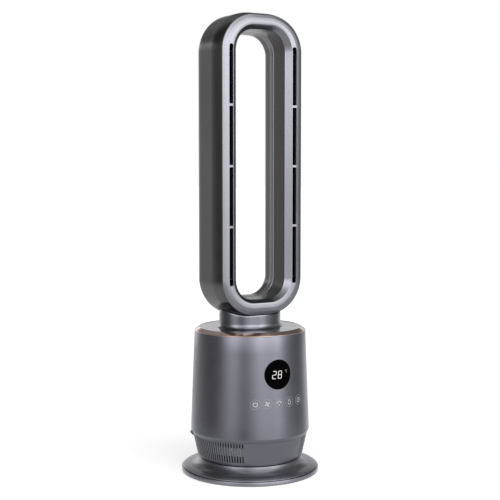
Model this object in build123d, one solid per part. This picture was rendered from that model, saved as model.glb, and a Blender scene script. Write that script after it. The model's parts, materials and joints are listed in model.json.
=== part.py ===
from build123d import *
import os
import math

os.makedirs("parts", exist_ok=True)

# ---------------------------------------------------------------------------
# Bladeless tower fan. Millimetres. +Z up, front of the fan towards -Y,
# origin at the centre of the underside (the plane of the rubber feet).
# ---------------------------------------------------------------------------

# base
BASE_R = 146.2           # base disc radius
FOOT_R = 143.6           # lower edge of the foot shell
DISC_TOP = 9.7           # top of the base disc rim
FOOT_BOTTOM = 11.3       # lower edge of the foot shell (parting groove below it)
DECK_TOP = 31.5          # top of the foot, under the turning gap
# turning gap and body
BODY_BOTTOM = 33.3
CONE = [(111.0, 33.3), (112.1, 36.2), (122.4, 83.3)]
CONE_WALL = 2.8
SLOT_Z0, SLOT_Z1 = 40.5, 82.3
SLOT_W = 2.7
SLOT_COUNT = 126         # slots in a full turn, before the blank front
BLANK_HALF = 34.3        # half angle of the blank front, degrees
COVER_HALF = 59.5        # half angle of the removable rear cover, degrees
SHELL_R0, SHELL_Z0 = 126.6, 91.4
SKIRT_R, SKIRT_Z = 122.7, 83.6   # lower edge of the shell, under its bottom chamfer
SHELL_R1, SHELL_Z1 = 118.2, 302.2
SHELL_WALL = 3.0
# top
RING_IN = 107.0
PLATE_TOP = 309.4
NECK_A, NECK_B = 68.0, 55.0
NECK_WALL = 2.6
# loop (outer and inner outline in the XZ plane, section in the XY plane)
LOOP_XC = 18.5           # corner centre in X
LOOP_ZT, LOOP_ZB = 884.5, 415.0
LOOP_WALL = 2.6
SLOT_X0, SLOT_X1 = 70.2, 79.3
LSLOT_Z0, LSLOT_Z1 = 402.8, 896.2
RIBS = [524.8, 649.1, 773.7]
RIB_H = 4.5
# display and touch field
DISPLAY_R = 31.0
DISPLAY_Z = 224.0
TOUCH_Z = 165.0          # height of the touch field
# oscillation gear pair
MOD = 0.8
SUN_T, PIN_T = 72, 18
CENTRE = MOD * (SUN_T + PIN_T) / 2 + 0.15
POST_R = 16.0
RUN_FIT = 0.05           # radial running clearance
# blower
SHAFT_R = 4.0
HOUSING_R = 87.0
BLADES = 9
VANES = 11


# ---------------------------------------------------------------------------
# helpers
# ---------------------------------------------------------------------------
def face_rz(pts):
    return make_face(Polyline(*[(r, 0, z) for r, z in pts], close=True))


def rev(pts):
    return revolve(face_rz(pts), Axis.Z)


def cyl(r, z0, z1, x=0.0, y=0.0):
    return Pos(x, y, z0) * Cylinder(r, z1 - z0, align=(Align.CENTER, Align.CENTER, Align.MIN))


def tube(r0, r1, z0, z1, x=0.0, y=0.0):
    return cyl(r1, z0, z1, x, y) - cyl(r0, z0 - 1, z1 + 1, x, y)


def box(x0, x1, y0, y1, z0, z1):
    return Pos(x0, y0, z0) * Box(x1 - x0, y1 - y0, z1 - z0, align=(Align.MIN, Align.MIN, Align.MIN))


def around(obj, angles):
    return [Rot(0, 0, a) * obj for a in angles]


def ycyl(r, y0, y1, x, z):
    """cylinder along +Y"""
    return Pos(x, y0, z) * (Rot(-90, 0, 0) * Cylinder(r, y1 - y0, align=(Align.CENTER, Align.CENTER, Align.MIN)))


def wedge(half, r, z0, z1, centre):
    """sector prism of half angle `half` about direction `centre` (degrees from +X)"""
    pts = [(0, 0)]
    n = 12
    for i in range(n + 1):
        t = math.radians(centre - half + 2 * half * i / n)
        pts.append((r * math.cos(t), r * math.sin(t)))
    f = make_face(Polyline(*[(x, y, z0) for x, y in pts], close=True))
    return extrude(f, amount=z1 - z0, dir=(0, 0, 1))


def oval(a, b, z0, z1):
    return extrude(Pos(0, 0, z0) * Ellipse(a, b), amount=z1 - z0, dir=(0, 0, 1))


def solids_of(shape):
    return list(shape.solids())


def keep(name, shape):
    sol = solids_of(shape) if not isinstance(shape, (list, tuple)) else [q for s in shape for q in solids_of(s)]
    out = sol[0] if len(sol) == 1 else Compound(sol)
    export_step(out, f"parts/{name}.step")
    print(f"{name}: {len(sol)} solid(s), {sum(s.volume for s in sol):.0f} mm3")


def lerp_r(pts, z):
    for (r0, z0), (r1, z1) in zip(pts, pts[1:]):
        if z0 <= z <= z1:
            return r0 + (r1 - r0) * (z - z0) / (z1 - z0)
    return pts[-1][0]


def shell_r(z):
    return SHELL_R0 + (SHELL_R1 - SHELL_R0) * (z - SHELL_Z0) / (SHELL_Z1 - SHELL_Z0)


# slot centre angles round the body, measured from the front (-Y) towards +X
PITCH = 360.0 / SLOT_COUNT
slot_side = []
a = BLANK_HALF + PITCH / 2
while a < 180 - COVER_HALF - PITCH * 0.6:
    slot_side.append(a)
    a += PITCH
cover_slots = []
a = 0.0
while a < COVER_HALF - PITCH * 0.8:
    cover_slots.append(a)
    a += PITCH
SIDE_SLOTS = [s for s in slot_side] + [-s for s in slot_side]
REAR_SLOTS = [180 + s for s in cover_slots] + [180 - s for s in cover_slots[1:]]


# ---------------------------------------------------------------------------
# base: disc, foot shell, ballast, feet, screws, cord bush
# ---------------------------------------------------------------------------
BOSS_R = 98.0
BOSS_ANG = [90, 162, 234, 306, 18]
FEET_ANG = [a + 36 for a in BOSS_ANG]

disc = rev([(0, 1.0), (BASE_R - 0.6, 1.0), (BASE_R, 1.6), (BASE_R, DISC_TOP - 0.7), (BASE_R - 0.7, DISC_TOP),
            (140.3, DISC_TOP), (140.3, 10.9), (138.2, 10.9), (138.2, 4.0), (0, 4.0)])
disc -= Compound(around(cyl(9.0, 0.5, 2.6, 126, 0), FEET_ANG))
disc -= Compound(around(cyl(1.8, 0, 5, BOSS_R, 0), BOSS_ANG))
disc -= Compound(around(cyl(3.9, 0, 2.8, BOSS_R, 0), BOSS_ANG))
disc -= Compound(around(cyl(1.5, 1.6, 5, 30, 0), [45, 135, 225, 315]))

foot_outer = make_face([
    Line((FOOT_R - 0.2, 0, FOOT_BOTTOM), (FOOT_R, 0, FOOT_BOTTOM + 0.6)),
    Line((FOOT_R, 0, FOOT_BOTTOM + 0.6), (141.4, 0, 12.9)),
    Line((141.4, 0, 12.9), (130.5, 0, 15.0)),
    ThreePointArc((130.5, 0, 15.0), (130.5 - 22 * math.cos(math.radians(50)), 0, 37 - 22 * math.sin(math.radians(50))),
                  (130.5 - math.sqrt(22 ** 2 - 5.5 ** 2), 0, 31.5)),
    Line((130.5 - math.sqrt(22 ** 2 - 5.5 ** 2), 0, 31.5), (64.0, 0, 31.5)),
    Line((64.0, 0, 31.5), (64.0, 0, 22.0)),
    Line((64.0, 0, 22.0), (66.6, 0, 22.0)),
    Line((66.6, 0, 22.0), (66.6, 0, 28.7)),
    Line((66.6, 0, 28.7), (130.5 - math.sqrt(24.8 ** 2 - 8.3 ** 2), 0, 28.7)),
    ThreePointArc((130.5 - math.sqrt(24.8 ** 2 - 8.3 ** 2), 0, 28.7),
                  (130.5 - 24.8 * math.cos(math.radians(50)), 0, 37 - 24.8 * math.sin(math.radians(50))),
                  (130.5, 0, 12.2)),
    Line((130.5, 0, 12.2), (137.6, 0, 11.6)),
    Line((137.6, 0, 11.6), (140.9, 0, FOOT_BOTTOM)),
    Line((140.9, 0, FOOT_BOTTOM), (FOOT_R - 0.2, 0, FOOT_BOTTOM)),
])
foot = revolve(foot_outer, Axis.Z)
bosses = Compound(around(cyl(5.0, 4.05, 29.0, BOSS_R, 0), BOSS_ANG))
foot = foot + bosses
foot -= Compound(around(cyl(1.5, 3.9, 20.0, BOSS_R, 0), BOSS_ANG))

CORD_Z = 6.4
bush_cut = ycyl(4.6, 133.0, 150.0, 0, CORD_Z)
disc -= bush_cut
foot -= bush_cut
keep("base_disc", disc)
keep("base_foot", foot)

bush = ycyl(4.55, 133.2, 145.2, 0, CORD_Z) + (ycyl(5.6, 131.4, 133.4, 0, CORD_Z) & box(-20, 20, 120, 133.3, 4.1, 11.4))
bush -= ycyl(3.3, 130.0, 150.0, 0, CORD_Z)
keep("cord_bush", bush)

weight = rev([(70, 4.1), (127.0, 4.1), (127.0, 9.4), (70, 9.4)])
weight -= Compound(around(cyl(5.8, 0, 20, BOSS_R, 0), BOSS_ANG))
keep("ballast_weight", weight)

keep("rubber_feet", around(cyl(8.9, 0.0, 2.6, 126, 0), FEET_ANG))

screw = cyl(3.6, 1.2, 2.8) + cyl(1.45, 2.8, 18.0)
screw -= Pos(0, 0, 1.2) * Box(1.0, 4.4, 1.6)
screw -= Pos(0, 0, 1.2) * Box(4.4, 1.0, 1.6)
keep("base_screws", around(Pos(BOSS_R, 0, 0) * screw, BOSS_ANG))

# ---------------------------------------------------------------------------
# pivot: post, fixed gear, glide ring, thrust washer, circlip, post screws
# ---------------------------------------------------------------------------
post = cyl(38, 4.1, 8.1) + cyl(POST_R, 8.0, 47.2) + cyl(14.0, 47.0, 55.0)
post -= cyl(11.0, 0, 60)
post -= tube(12.8, 20, 49.5, 50.9)
post -= Compound(around(cyl(1.6, 3, 9, 30, 0), [45, 135, 225, 315]))
keep("pivot_post", post)

pscrew = cyl(3.2, 8.15, 10.4) + cyl(1.45, 1.7, 8.3)
pscrew -= Pos(0, 0, 10.4) * Box(1.0, 4.0, 1.8)
keep("pivot_screws", around(Pos(30, 0, 0) * pscrew, [45, 135, 225, 315]))


def involute_gear(teeth, mod, z0, z1, backlash, phase, addendum=0.95, dedendum=1.2):
    """spur gear profile from involute flanks; a tooth is centred on angle `phase` (radians)"""
    rp = mod * teeth / 2
    rb = rp * math.cos(math.radians(20))
    ra = rp + addendum * mod
    rf = rp - dedendum * mod
    half = math.pi / (2 * teeth) - backlash / (2 * rp)

    def inv(r):
        c = min(1.0, rb / r)
        al = math.acos(c)
        return math.tan(al) - al

    flank = []
    r0 = max(rb, rf)
    n = 5
    for i in range(n + 1):
        r = r0 + (ra - r0) * i / n
        flank.append((r, half + inv(rp) - inv(r)))
    pts = []
    for t in range(teeth):
        c = phase + 2 * math.pi * t / teeth
        root = flank[0][1]
        if rf < r0:
            pts.append((rf, c - root))
        for r, g in flank:
            pts.append((r, c - g))
        for r, g in reversed(flank):
            pts.append((r, c + g))
        if rf < r0:
            pts.append((rf, c + root))
    xy = [(r * math.cos(g), r * math.sin(g), z0) for r, g in pts]
    return extrude(make_face(Polyline(*xy, close=True)), amount=z1 - z0, dir=(0, 0, 1))


sun = involute_gear(SUN_T, MOD, 14.0, 21.0, 0.16, 0.0) + cyl(22.0, 8.2, 14.0)
sun -= cyl(POST_R, 0, 40)
keep("fixed_gear", sun)

pinion = involute_gear(PIN_T, MOD, 14.6, 20.6, 0.16, math.pi / PIN_T)
pinion += cyl(4.2, 20.5, 25.0)
pinion -= cyl(2.5, 10, 30) & (cyl(2.5, 10, 30) - box(1.6, 5, -5, 5, 9, 31))
pinion = Pos(CENTRE, 0, 0) * pinion
keep("drive_pinion", pinion)
pshaft = cyl(2.45, 14.0, 41.0) - box(1.5, 5, -5, 5, 13, 26)
keep("pinion_shaft", Pos(CENTRE, 0, 0) * pshaft)

glide = tube(92, 99, DECK_TOP + 0.02, BODY_BOTTOM - 0.3)
keep("glide_ring", glide)

washer = tube(14.05, 24.0, 47.35, 49.3)
keep("thrust_washer", washer)
clip = tube(12.85, 17.0, 49.55, 50.85) - box(-3.5, 3.5, -20, 0, 48, 52)
keep("circlip", clip)

# ---------------------------------------------------------------------------
# turning body, lower part: turntable, motor, lower housing, filter, board
# ---------------------------------------------------------------------------
turntable = cyl(107.0, BODY_BOTTOM, BODY_BOTTOM + 3.0) + cyl(21.5, BODY_BOTTOM, 46.9)
turntable -= cyl(POST_R + RUN_FIT, 0, 60)
turntable -= cyl(4.9, 30, 40, CENTRE, 0)
turntable -= Compound(around(cyl(1.6, 30, 40, 100, 0), [30, 90, 150, 210, 270, 330]))
for s in (-1, 1):
    turntable -= cyl(1.5, 30, 40, CENTRE + 8.0, s * 17.5)
keep("turntable", turntable)

om = cyl(14.0, 36.35, 55.4, CENTRE + 8.0, 0)
om += Pos(CENTRE + 8.0, 0, 36.35) * Box(7.0, 42.0, 0.9, align=(Align.CENTER, Align.CENTER, Align.MIN))
om += box(CENTRE + 20, CENTRE + 25.5, -7.5, 7.5, 38, 54)
om += tube(2.5, 4.7, 33.6, 36.6, CENTRE, 0)
om -= cyl(2.5, 30, 41.1, CENTRE, 0)
for s in (-1, 1):
    om -= cyl(1.6, 35, 38, CENTRE + 8.0, s * 17.5)
keep("oscillation_motor", om)
omscrew = cyl(2.8, 37.3, 39.0) + cyl(1.4, 33.6, 37.3)
omscrew -= Pos(0, 0, 39.0) * Box(0.9, 3.6, 1.4)
keep("motor_screws", [Pos(CENTRE + 8.0, s * 17.5, 0) * omscrew for s in (-1, 1)])

inner = [(r - CONE_WALL, z) for r, z in CONE]
SPIG_R = 119.3            # spigot that sits inside the shell's lower edge
cone_full = rev(CONE + [(SPIG_R, 83.3), (SPIG_R, 90.6), (SPIG_R - 2.4, 90.6), (SPIG_R - 2.4, 81.0)] + list(reversed(inner[:-1])))
# flange on top that the shell and the bellmouth are screwed to
FLANGE_R = 108.0
FL_R = 112.6              # screw circle of the flange
top_flange = rev([(FLANGE_R, 87.6), (SPIG_R - 1.0, 87.6), (SPIG_R - 1.0, 90.6), (FLANGE_R, 90.6)])
housing = cone_full + top_flange
COVER_Z0, COVER_Z1 = 38.6, 83.7
window = wedge(COVER_HALF, 160, COVER_Z0, COVER_Z1, 90.0)
cover_blank = rev(CONE + list(reversed(inner)))
housing -= window
# slots: radial boxes, centred on the wall
slot_box = box(-SLOT_W / 2, SLOT_W / 2, -135, -102, SLOT_Z0, SLOT_Z1)
housing -= Compound(around(slot_box, SIDE_SLOTS))
FL_ANG = [0, 60, 120, 180, 240, 300]
housing -= Compound(around(cyl(1.6, 80, 95, FL_R, 0), FL_ANG))
keep("lower_housing", housing)

# removable rear intake cover with its pull lip
GAPC = 0.35
cover = cover_blank & wedge(COVER_HALF - 0.22, 160, COVER_Z0 + GAPC, COVER_Z1 - GAPC, 90.0)
lip = rev([(lerp_r(CONE, 69.0) - 1.0, 69.0), (lerp_r(CONE, 69.0) + 0.3, 69.0), (127.0, 73.6), (129.4, 76.4), (129.4, 79.6),
           (128.6, 80.6), (lerp_r(CONE, 80.6) - 1.0, 80.6)])
lip = lip & wedge(COVER_HALF - 0.3, 160, 60, 85, 90.0)
cover = cover + lip
cover -= Compound(around(box(-SLOT_W / 2, SLOT_W / 2, -125.5, -102, SLOT_Z0, SLOT_Z1), REAR_SLOTS))
cover -= Compound(around(box(-SLOT_W / 2, SLOT_W / 2, -135, -102, SLOT_Z0, 68.9), REAR_SLOTS))
keep("rear_cover", cover)

FILT_R0, FILT_R1 = 95.0, 106.0
MEDIA_Z0, MEDIA_Z1 = 49.0, 70.0


def arc_band(r0, r1, z0, z1, centre, half):
    return tube(r0, r1, z0, z1) & wedge(half, 160, z0 - 1, z1 + 1, centre)


SIDE_C = [-90 + 76.4, -90 - 76.4]
SIDE_H = 42.4
side_media = [arc_band(FILT_R0 + 0.5, FILT_R1 - 0.5, MEDIA_Z0, MEDIA_Z1, c, SIDE_H - 0.8) for c in SIDE_C]
keep("side_filter", side_media)
side_frames = []
for c in SIDE_C:
    fr = arc_band(FILT_R0, FILT_R1, 38.0, 87.0, c, SIDE_H)
    fr -= arc_band(FILT_R0 - 1, FILT_R1 + 1, MEDIA_Z0, MEDIA_Z1, c, SIDE_H - 0.8)
    side_frames.append(fr)
keep("side_filter_frames", side_frames)

REAR_H = 56.0
keep("rear_filter", arc_band(FILT_R0 + 0.5, FILT_R1 - 0.5, MEDIA_Z0, MEDIA_Z1, 90, REAR_H - 0.8))
# its top edge passes under the shell and the spigot when the cover is pulled off
rear_frame = arc_band(FILT_R0, FILT_R1, 39.6, 82.9, 90, REAR_H)
rear_frame -= arc_band(FILT_R0 - 1, FILT_R1 + 1, MEDIA_Z0, MEDIA_Z1, 90, REAR_H - 0.8)
for q in (90 - 54, 90, 90 + 54):
    rib = wedge(1.2, 160, 41.0, 46.0, q) & rev([(105.5, 30), (lerp_r(inner, 41.0) - 0.05, 41.0), (lerp_r(inner, 46.0) - 0.05, 46.0), (105.5, 60)])
    rear_frame += rib
keep("rear_filter_frame", rear_frame)

power = box(-20, 40, -84.0, -82.4, 40, 84)
power += box(-14, 4, -97, -84.0, 46, 66) + box(12, 24, -96, -84.0, 44, 60) + cyl(5, 62, 80, 30, -88.9)
keep("power_board", power)

# ---------------------------------------------------------------------------
# intake bellmouth and blower
# ---------------------------------------------------------------------------
bell = rev([(122.9, 91.0), (122.9, 93.6), (80.0, 93.6), (72.0, 95.6), (67.0, 99.5), (65.6, 104.0),
            (63.2, 104.0), (64.2, 98.4), (69.6, 93.6), (77.0, 91.0)])
bell -= Compound(around(cyl(1.6, 80, 110, FL_R, 0), FL_ANG))
bell -= Compound(around(cyl(2.2, 80, 110, 96.0, 0), [45, 135, 225, 315]))
keep("bellmouth", bell)

hub_pts = [(SHAFT_R, 100.0), (13.0, 100.0), (15.0, 101.0), (22.0, 112.0), (32.0, 124.0), (44.0, 134.0), (44.0, 136.0),
           (30.0, 136.0), (14.0, 128.0), (SHAFT_R, 128.0)]
impeller = rev(hub_pts)
shroud = rev([(60.0, 98.0), (61.4, 98.0), (62.4, 104.8), (67.0, 113.5), (74.0, 120.5), (79.5, 125.0), (78.6, 126.2),
              (72.6, 121.8), (65.6, 114.5), (60.8, 105.4)])
blade_zone = rev([(13.5, 100.6), (60.6, 100.6), (61.5, 105.2), (66.2, 114.0), (73.2, 121.2), (79.0, 125.6),
                  (62.0, 133.4), (44.0, 135.5), (32.0, 124.6), (22.0, 112.6)])
blade_raw = extrude(make_face([
    ThreePointArc((12.0, 0, 95), (44.0, 15.0, 95), (84.0, 52.0, 95)),
    Line((84.0, 52.0, 95), (82.8, 53.3, 95)),
    ThreePointArc((82.8, 53.3, 95), (43.2, 16.7, 95), (12.0, 1.9, 95)),
    Line((12.0, 1.9, 95), (12.0, 0, 95)),
]), amount=45, dir=(0, 0, 1))
blade = blade_raw & blade_zone
impeller = impeller + shroud
for s in around(blade, [i * 360 / BLADES for i in range(BLADES)]):
    impeller = impeller + s
keep("impeller", impeller)

shaft = cyl(SHAFT_R - 0.01, 99.0, 212.0)
keep("motor_shaft", shaft)
keep("motor_bearings", [tube(SHAFT_R + RUN_FIT, 8.0, 143.2, 148.8), tube(SHAFT_R + RUN_FIT, 8.0, 203.0, 209.0)])

motor = rev([(8.05, 148.9), (30.0, 148.9), (38.0, 153.0), (38.0, 196.0), (30.0, 202.8), (8.05, 202.8)])
motor += rev([(8.05, 143.3), (13.0, 143.3), (13.0, 149.0), (8.05, 149.0)])
motor += rev([(8.05, 202.6), (13.0, 202.6), (13.0, 209.0), (8.05, 209.0)])
keep("fan_motor", motor)
keep("motor_mounts", around(box(34, 46, -6, 6, 158, 190) & tube(38.05, 42.95, 150, 195), [0, 90, 180, 270]))

bh = tube(HOUSING_R - 2.6, HOUSING_R, 97.8, 236.0)
bh += tube(HOUSING_R - 0.2, 101.0, 97.8, 100.2)
cup = rev([(13.2, 139.4), (36.0, 139.4), (45.6, 147.0), (45.6, 214.0), (43.0, 214.0), (43.0, 148.2), (35.0, 142.0), (13.2, 142.0)])
vane_box = box(44.5, HOUSING_R - 1.5, -1.0, 1.0, 152.0, 205.0)
bh = bh + cup
for s in around(vane_box, [i * 360 / VANES + 8 for i in range(VANES)]):
    bh = bh + s
bh -= Compound(around(cyl(1.7, 90, 110, 96.0, 0), [45, 135, 225, 315]))
keep("blower_housing", bh)
keep("vibration_mounts", around(tube(1.7, 5.0, 93.65, 97.75, 96.0, 0) + tube(1.7, 2.15, 91.4, 93.7, 96.0, 0), [45, 135, 225, 315]))
vscrew = cyl(3.2, 100.25, 102.6) + cyl(1.65, 89.0, 100.3)
vscrew += cyl(3.2, 88.2, 90.95)
vscrew -= Pos(0, 0, 102.6) * Box(1.0, 4.2, 1.8)
keep("mount_screws", around(Pos(96.0, 0, 0) * vscrew, [45, 135, 225, 315]))

# duct from the blower to the neck
DUCT_Z0, DUCT_Z1 = 236.1, 305.0


def duct_solid(r, da, z0, z1):
    return loft([Pos(0, 0, z0) * Circle(r), Pos(0, 0, z1) * Ellipse(NECK_A - da, NECK_B - da)])


duct = duct_solid(HOUSING_R, 5.5, DUCT_Z0, DUCT_Z1) - duct_solid(HOUSING_R - 2.6, 8.1, DUCT_Z0, DUCT_Z1)
keep("air_duct", duct)

heater = box(-44, 44, -30, 30, 243, 262)
for i in range(12):
    x = -41 + i * 7.2
    heater -= box(x, x + 4.2, -26, -1.5, 240, 265)
    heater -= box(x, x + 4.2, 1.5, 26, 240, 265)
keep("heater_core", heater)
hframe = box(-48, 48, -33.5, 33.5, 241, 264) - box(-44.05, 44.05, -30.05, 30.05, 230, 270)
for s in (-1, 1):
    arm = box(-4, 4, 33.4, 90, 246, 258) if s > 0 else box(-4, 4, -90, -33.4, 246, 258)
    arm = arm & duct_solid(HOUSING_R - 2.65, 8.15, DUCT_Z0, DUCT_Z1)
    hframe += arm
keep("heater_frame", hframe)

# ---------------------------------------------------------------------------
# body shell, trim ring, top plate, display and boards
# ---------------------------------------------------------------------------
shell = rev([(SKIRT_R, SKIRT_Z), (SHELL_R0, SHELL_Z0), (SHELL_R1 + 0.02, SHELL_Z1 - 0.5), (SHELL_R1 - 0.5, SHELL_Z1),
             (SHELL_R1 - SHELL_WALL, SHELL_Z1), (SHELL_R0 - SHELL_WALL, SHELL_Z0 - 0.6), (SKIRT_R - SHELL_WALL - 0.2, SKIRT_Z)])
shell_boss = cyl(4.6, 93.7, 112.0, FL_R, 0) + box(FL_R, 124.0, -1.2, 1.2, 93.7, 112.0)
for s in around(shell_boss, FL_ANG):
    shell = shell + s
shell -= Compound(around(cyl(1.5, 90, 108, FL_R, 0), FL_ANG))
# shallow seat for the window, and an opening behind it
shell -= ycyl(DISPLAY_R + 0.15, -135, -115, 0, DISPLAY_Z) & (cyl(200, 150, 290) - rev(
    [(0, 100), (shell_r(100) - 1.6, 100), (shell_r(300) - 1.6, 300), (0, 300)]))
shell -= ycyl(DISPLAY_R - 3.0, -135, -100, 0, DISPLAY_Z)
keep("body_shell", shell)

lens_skin = rev([(shell_r(100) - 1.55, 100), (shell_r(100) + 0.15, 100), (shell_r(300) + 0.15, 300), (shell_r(300) - 1.55, 300)])
lens = lens_skin & ycyl(DISPLAY_R, -135, -100, 0, DISPLAY_Z)
keep("display_window", lens)
keep("display_board", ycyl(27.0, -112.5, -110.6, 0, DISPLAY_Z) + box(-17, 17, -116.4, -112.5, DISPLAY_Z - 12, DISPLAY_Z + 12))

T0, T1 = TOUCH_Z - 17, TOUCH_Z + 17
touch = rev([(shell_r(T0) - 4.2, T0), (shell_r(T0) - 3.1, T0), (shell_r(T1) - 3.1, T1), (shell_r(T1) - 4.2, T1)])
touch = touch & wedge(33.0, 160, 140, 190, -90.0)
keep("touch_board", touch)
keep("control_board", box(-34, 34, -101.6, -100.0, 176, 236) + box(-12, 12, -103.6, -101.6, 184, 204)
     + box(-30, -20, -108.0, -101.6, 182, 190))

hscrew = cyl(3.3, 84.9, 87.5) + cyl(1.45, 87.4, 106.0)
hscrew -= Pos(0, 0, 84.9) * Box(1.0, 4.2, 1.8)
keep("housing_screws", around(Pos(FL_R, 0, 0) * hscrew, FL_ANG))

ring = rev([(SHELL_R1 - 0.05, SHELL_Z1 + 0.05), (SHELL_R1 + 0.05, SHELL_Z1 + 0.5), (SHELL_R1 + 0.05, SHELL_Z1 + 1.3),
            (SHELL_R1 - 0.5, SHELL_Z1 + 2.0), (RING_IN + 1.6, 309.9), (RING_IN + 0.4, 309.9), (RING_IN, 309.4), (RING_IN, 304.2),
            (112.4, 304.2), (115.0, SHELL_Z1 + 0.05)])
keep("trim_ring", ring)
plate = cyl(RING_IN - 0.05, 305.8, PLATE_TOP) + tube(104.0, RING_IN - 0.05, 300.6, 306.0)
plate -= oval(NECK_A - 5.4, NECK_B - 5.4, 290, 320)
keep("top_plate", plate)

# ---------------------------------------------------------------------------
# loop: right half built from the limb section, then mirrored
# ---------------------------------------------------------------------------
SEAM_F = (92.9, -54.4)   # crisp outer edge of the front, where the front frame meets the rear shell


CREST_F = (57.7, -45.8)   # crisp edge between the inner bevel and the inner wall
SEAM_R = 7.0             # height in Y of the seam on the inner wall


def contour():
    q = math.cos(math.pi / 4)
    e = [
        Line((70.2, -57.9), (79.3, -58.6)),
        Line((79.3, -58.6), (86.0, -57.2)),
        Line((86.0, -57.2), SEAM_F),
        ThreePointArc(SEAM_F, (98.58, -35.07), (100.4, -15.0)),
        Line((100.4, -15.0), (101.0, 34.9)),
        ThreePointArc((101.0, 34.9), (79.5 + 21.5 * q, 34.9 + 21.5 * q), (79.5, 56.4)),
        ThreePointArc((79.5, 56.4), (79.5 - 18.5 * q, 37.9 + 18.5 * q), (61.0, 37.9)),
        Line((61.0, 37.9), CREST_F),
        Line(CREST_F, (70.2, -57.9)),
    ]
    return make_face(e)


outer_f = contour()
inner_f = offset(outer_f, amount=-LOOP_WALL, kind=Kind.INTERSECTION)
wall_f = outer_f - inner_f


def region(side, gap):
    """area on the front (1) or the rear (-1) side of the parting line between the two seams"""
    px, py = SEAM_F[0] + 0.4, SEAM_F[1] + 0.4
    ux, uy = -0.7, 0.714
    gx, gy = -0.714 * gap * side, -0.7 * gap * side
    y = SEAM_R - gap * side
    far = -150.0 * side
    pts = [(px - ux * 70 + gx, py - uy * 70 + gy), (px + ux * 20 + gx, py + uy * 20 + gy), (px + ux * 20 + gx, y), (20.0, y), (20.0, far)]
    if side < 0:
        pts += [(160.0, far), (160.0, pts[0][1])]
    else:
        pts += [(pts[0][0], far)]
    return make_face(Polyline(*[(x, yy, 0) for x, yy in pts], close=True))


def pick(face, side):
    return face & region(side, 0.2)


def loop_half(face):
    """sweep a limb section: bottom half straight, corner, side limb, corner, top half straight"""
    limb = extrude(Pos(0, 0, LOOP_ZB) * face, amount=LOOP_ZT - LOOP_ZB, dir=(0, 0, 1))
    top_axis = Axis((LOOP_XC, 0, LOOP_ZT), (0, -1, 0))
    bot_axis = Axis((LOOP_XC, 0, LOOP_ZB), (0, 1, 0))
    ftop = Pos(0, 0, LOOP_ZT) * face
    fbot = Pos(0, 0, LOOP_ZB) * face
    ctop = revolve(ftop, top_axis, revolution_arc=90)
    cbot = revolve(fbot, bot_axis, revolution_arc=90)
    etop = extrude(ftop.rotate(top_axis, 90), amount=LOOP_XC, dir=(-1, 0, 0))
    ebot = extrude(fbot.rotate(bot_axis, 90), amount=LOOP_XC, dir=(-1, 0, 0))
    return limb + ctop + cbot + etop + ebot


def loop_ring(face):
    h = loop_half(face)
    return h + h.mirror(Plane.YZ)


def merged(face):
    fs = face.faces()
    return fs[0] if len(fs) == 1 else fs


front_f = pick(wall_f, 1)
rear_f = pick(wall_f, -1)
if min(v.Y for v in front_f.vertices()) > min(v.Y for v in rear_f.vertices()):
    front_f, rear_f = rear_f, front_f
front_f = merged(front_f)
rear_f = merged(rear_f)
front = loop_ring(front_f)
rear = loop_ring(rear_f)

# air slots through the crest of both limbs, ends following the corner arcs
slot_face = make_face(Polyline((SLOT_X0, -62, 0), (SLOT_X1, -62, 0), (SLOT_X1, -50, 0), (SLOT_X0, -50, 0), close=True))
edges_z = [LSLOT_Z0]
for r in RIBS:
    edges_z += [r - RIB_H / 2, r + RIB_H / 2]
edges_z += [LSLOT_Z1]
cuts = []
END_T = math.degrees(math.asin((LSLOT_Z1 - LOOP_ZT) / 56.25))
for i in range(0, len(edges_z), 2):
    z0, z1 = edges_z[i], edges_z[i + 1]
    c = extrude(Pos(0, 0, max(z0, LOOP_ZB)) * slot_face, amount=min(z1, LOOP_ZT) - max(z0, LOOP_ZB), dir=(0, 0, 1))
    if z0 < LOOP_ZB:
        c = c + revolve(Pos(0, 0, LOOP_ZB) * slot_face, Axis((LOOP_XC, 0, LOOP_ZB), (0, 1, 0)), revolution_arc=END_T)
    if z1 > LOOP_ZT:
        c = c + revolve(Pos(0, 0, LOOP_ZT) * slot_face, Axis((LOOP_XC, 0, LOOP_ZT), (0, -1, 0)), revolution_arc=END_T)
    cuts.append(c)
for c in cuts:
    front = front - c
    front = front - c.mirror(Plane.YZ)
keep("loop_front_frame", front)

# air hole from the neck, through the bottom wall only
rear -= oval(44.0, 30.0, 320.0, 352.0)
keep("loop_rear_shell", rear)

# nozzle channels behind the slots: tapered frames with closed ends
nz0, nz1 = 404.0, 894.0


def nozzle_section(t):
    return make_face(Polyline((69.5 + t, -52.4, 0), (80.1 - t, -52.4, 0), (84.5 - t, -37.0, 0), (66.0 + t, -37.0, 0), close=True))


noz = extrude(Pos(0, 0, nz0 + 12) * nozzle_section(0), amount=nz1 - nz0 - 24, dir=(0, 0, 1))
noz -= extrude(Pos(0, 0, nz0 + 13.4) * nozzle_section(1.2), amount=nz1 - nz0 - 26.8, dir=(0, 0, 1)) + box(
    70.6, 78.9, -60, -50, nz0 + 13.4, nz1 - 13.4)
noz += box(67.5, 82.8, -45.0, -43.8, nz0 + 12.0, nz0 + 13.5)
keep("nozzle_right", noz)
keep("nozzle_left", noz.mirror(Plane.YZ))

# neck, cut back from the loop's outline, and the dark collar inside it


def grown_loop(grow):
    """the loop as a full ring of its section, grown by `grow`"""
    return loop_ring(merged(offset(outer_f, amount=grow, kind=Kind.INTERSECTION)))


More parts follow.
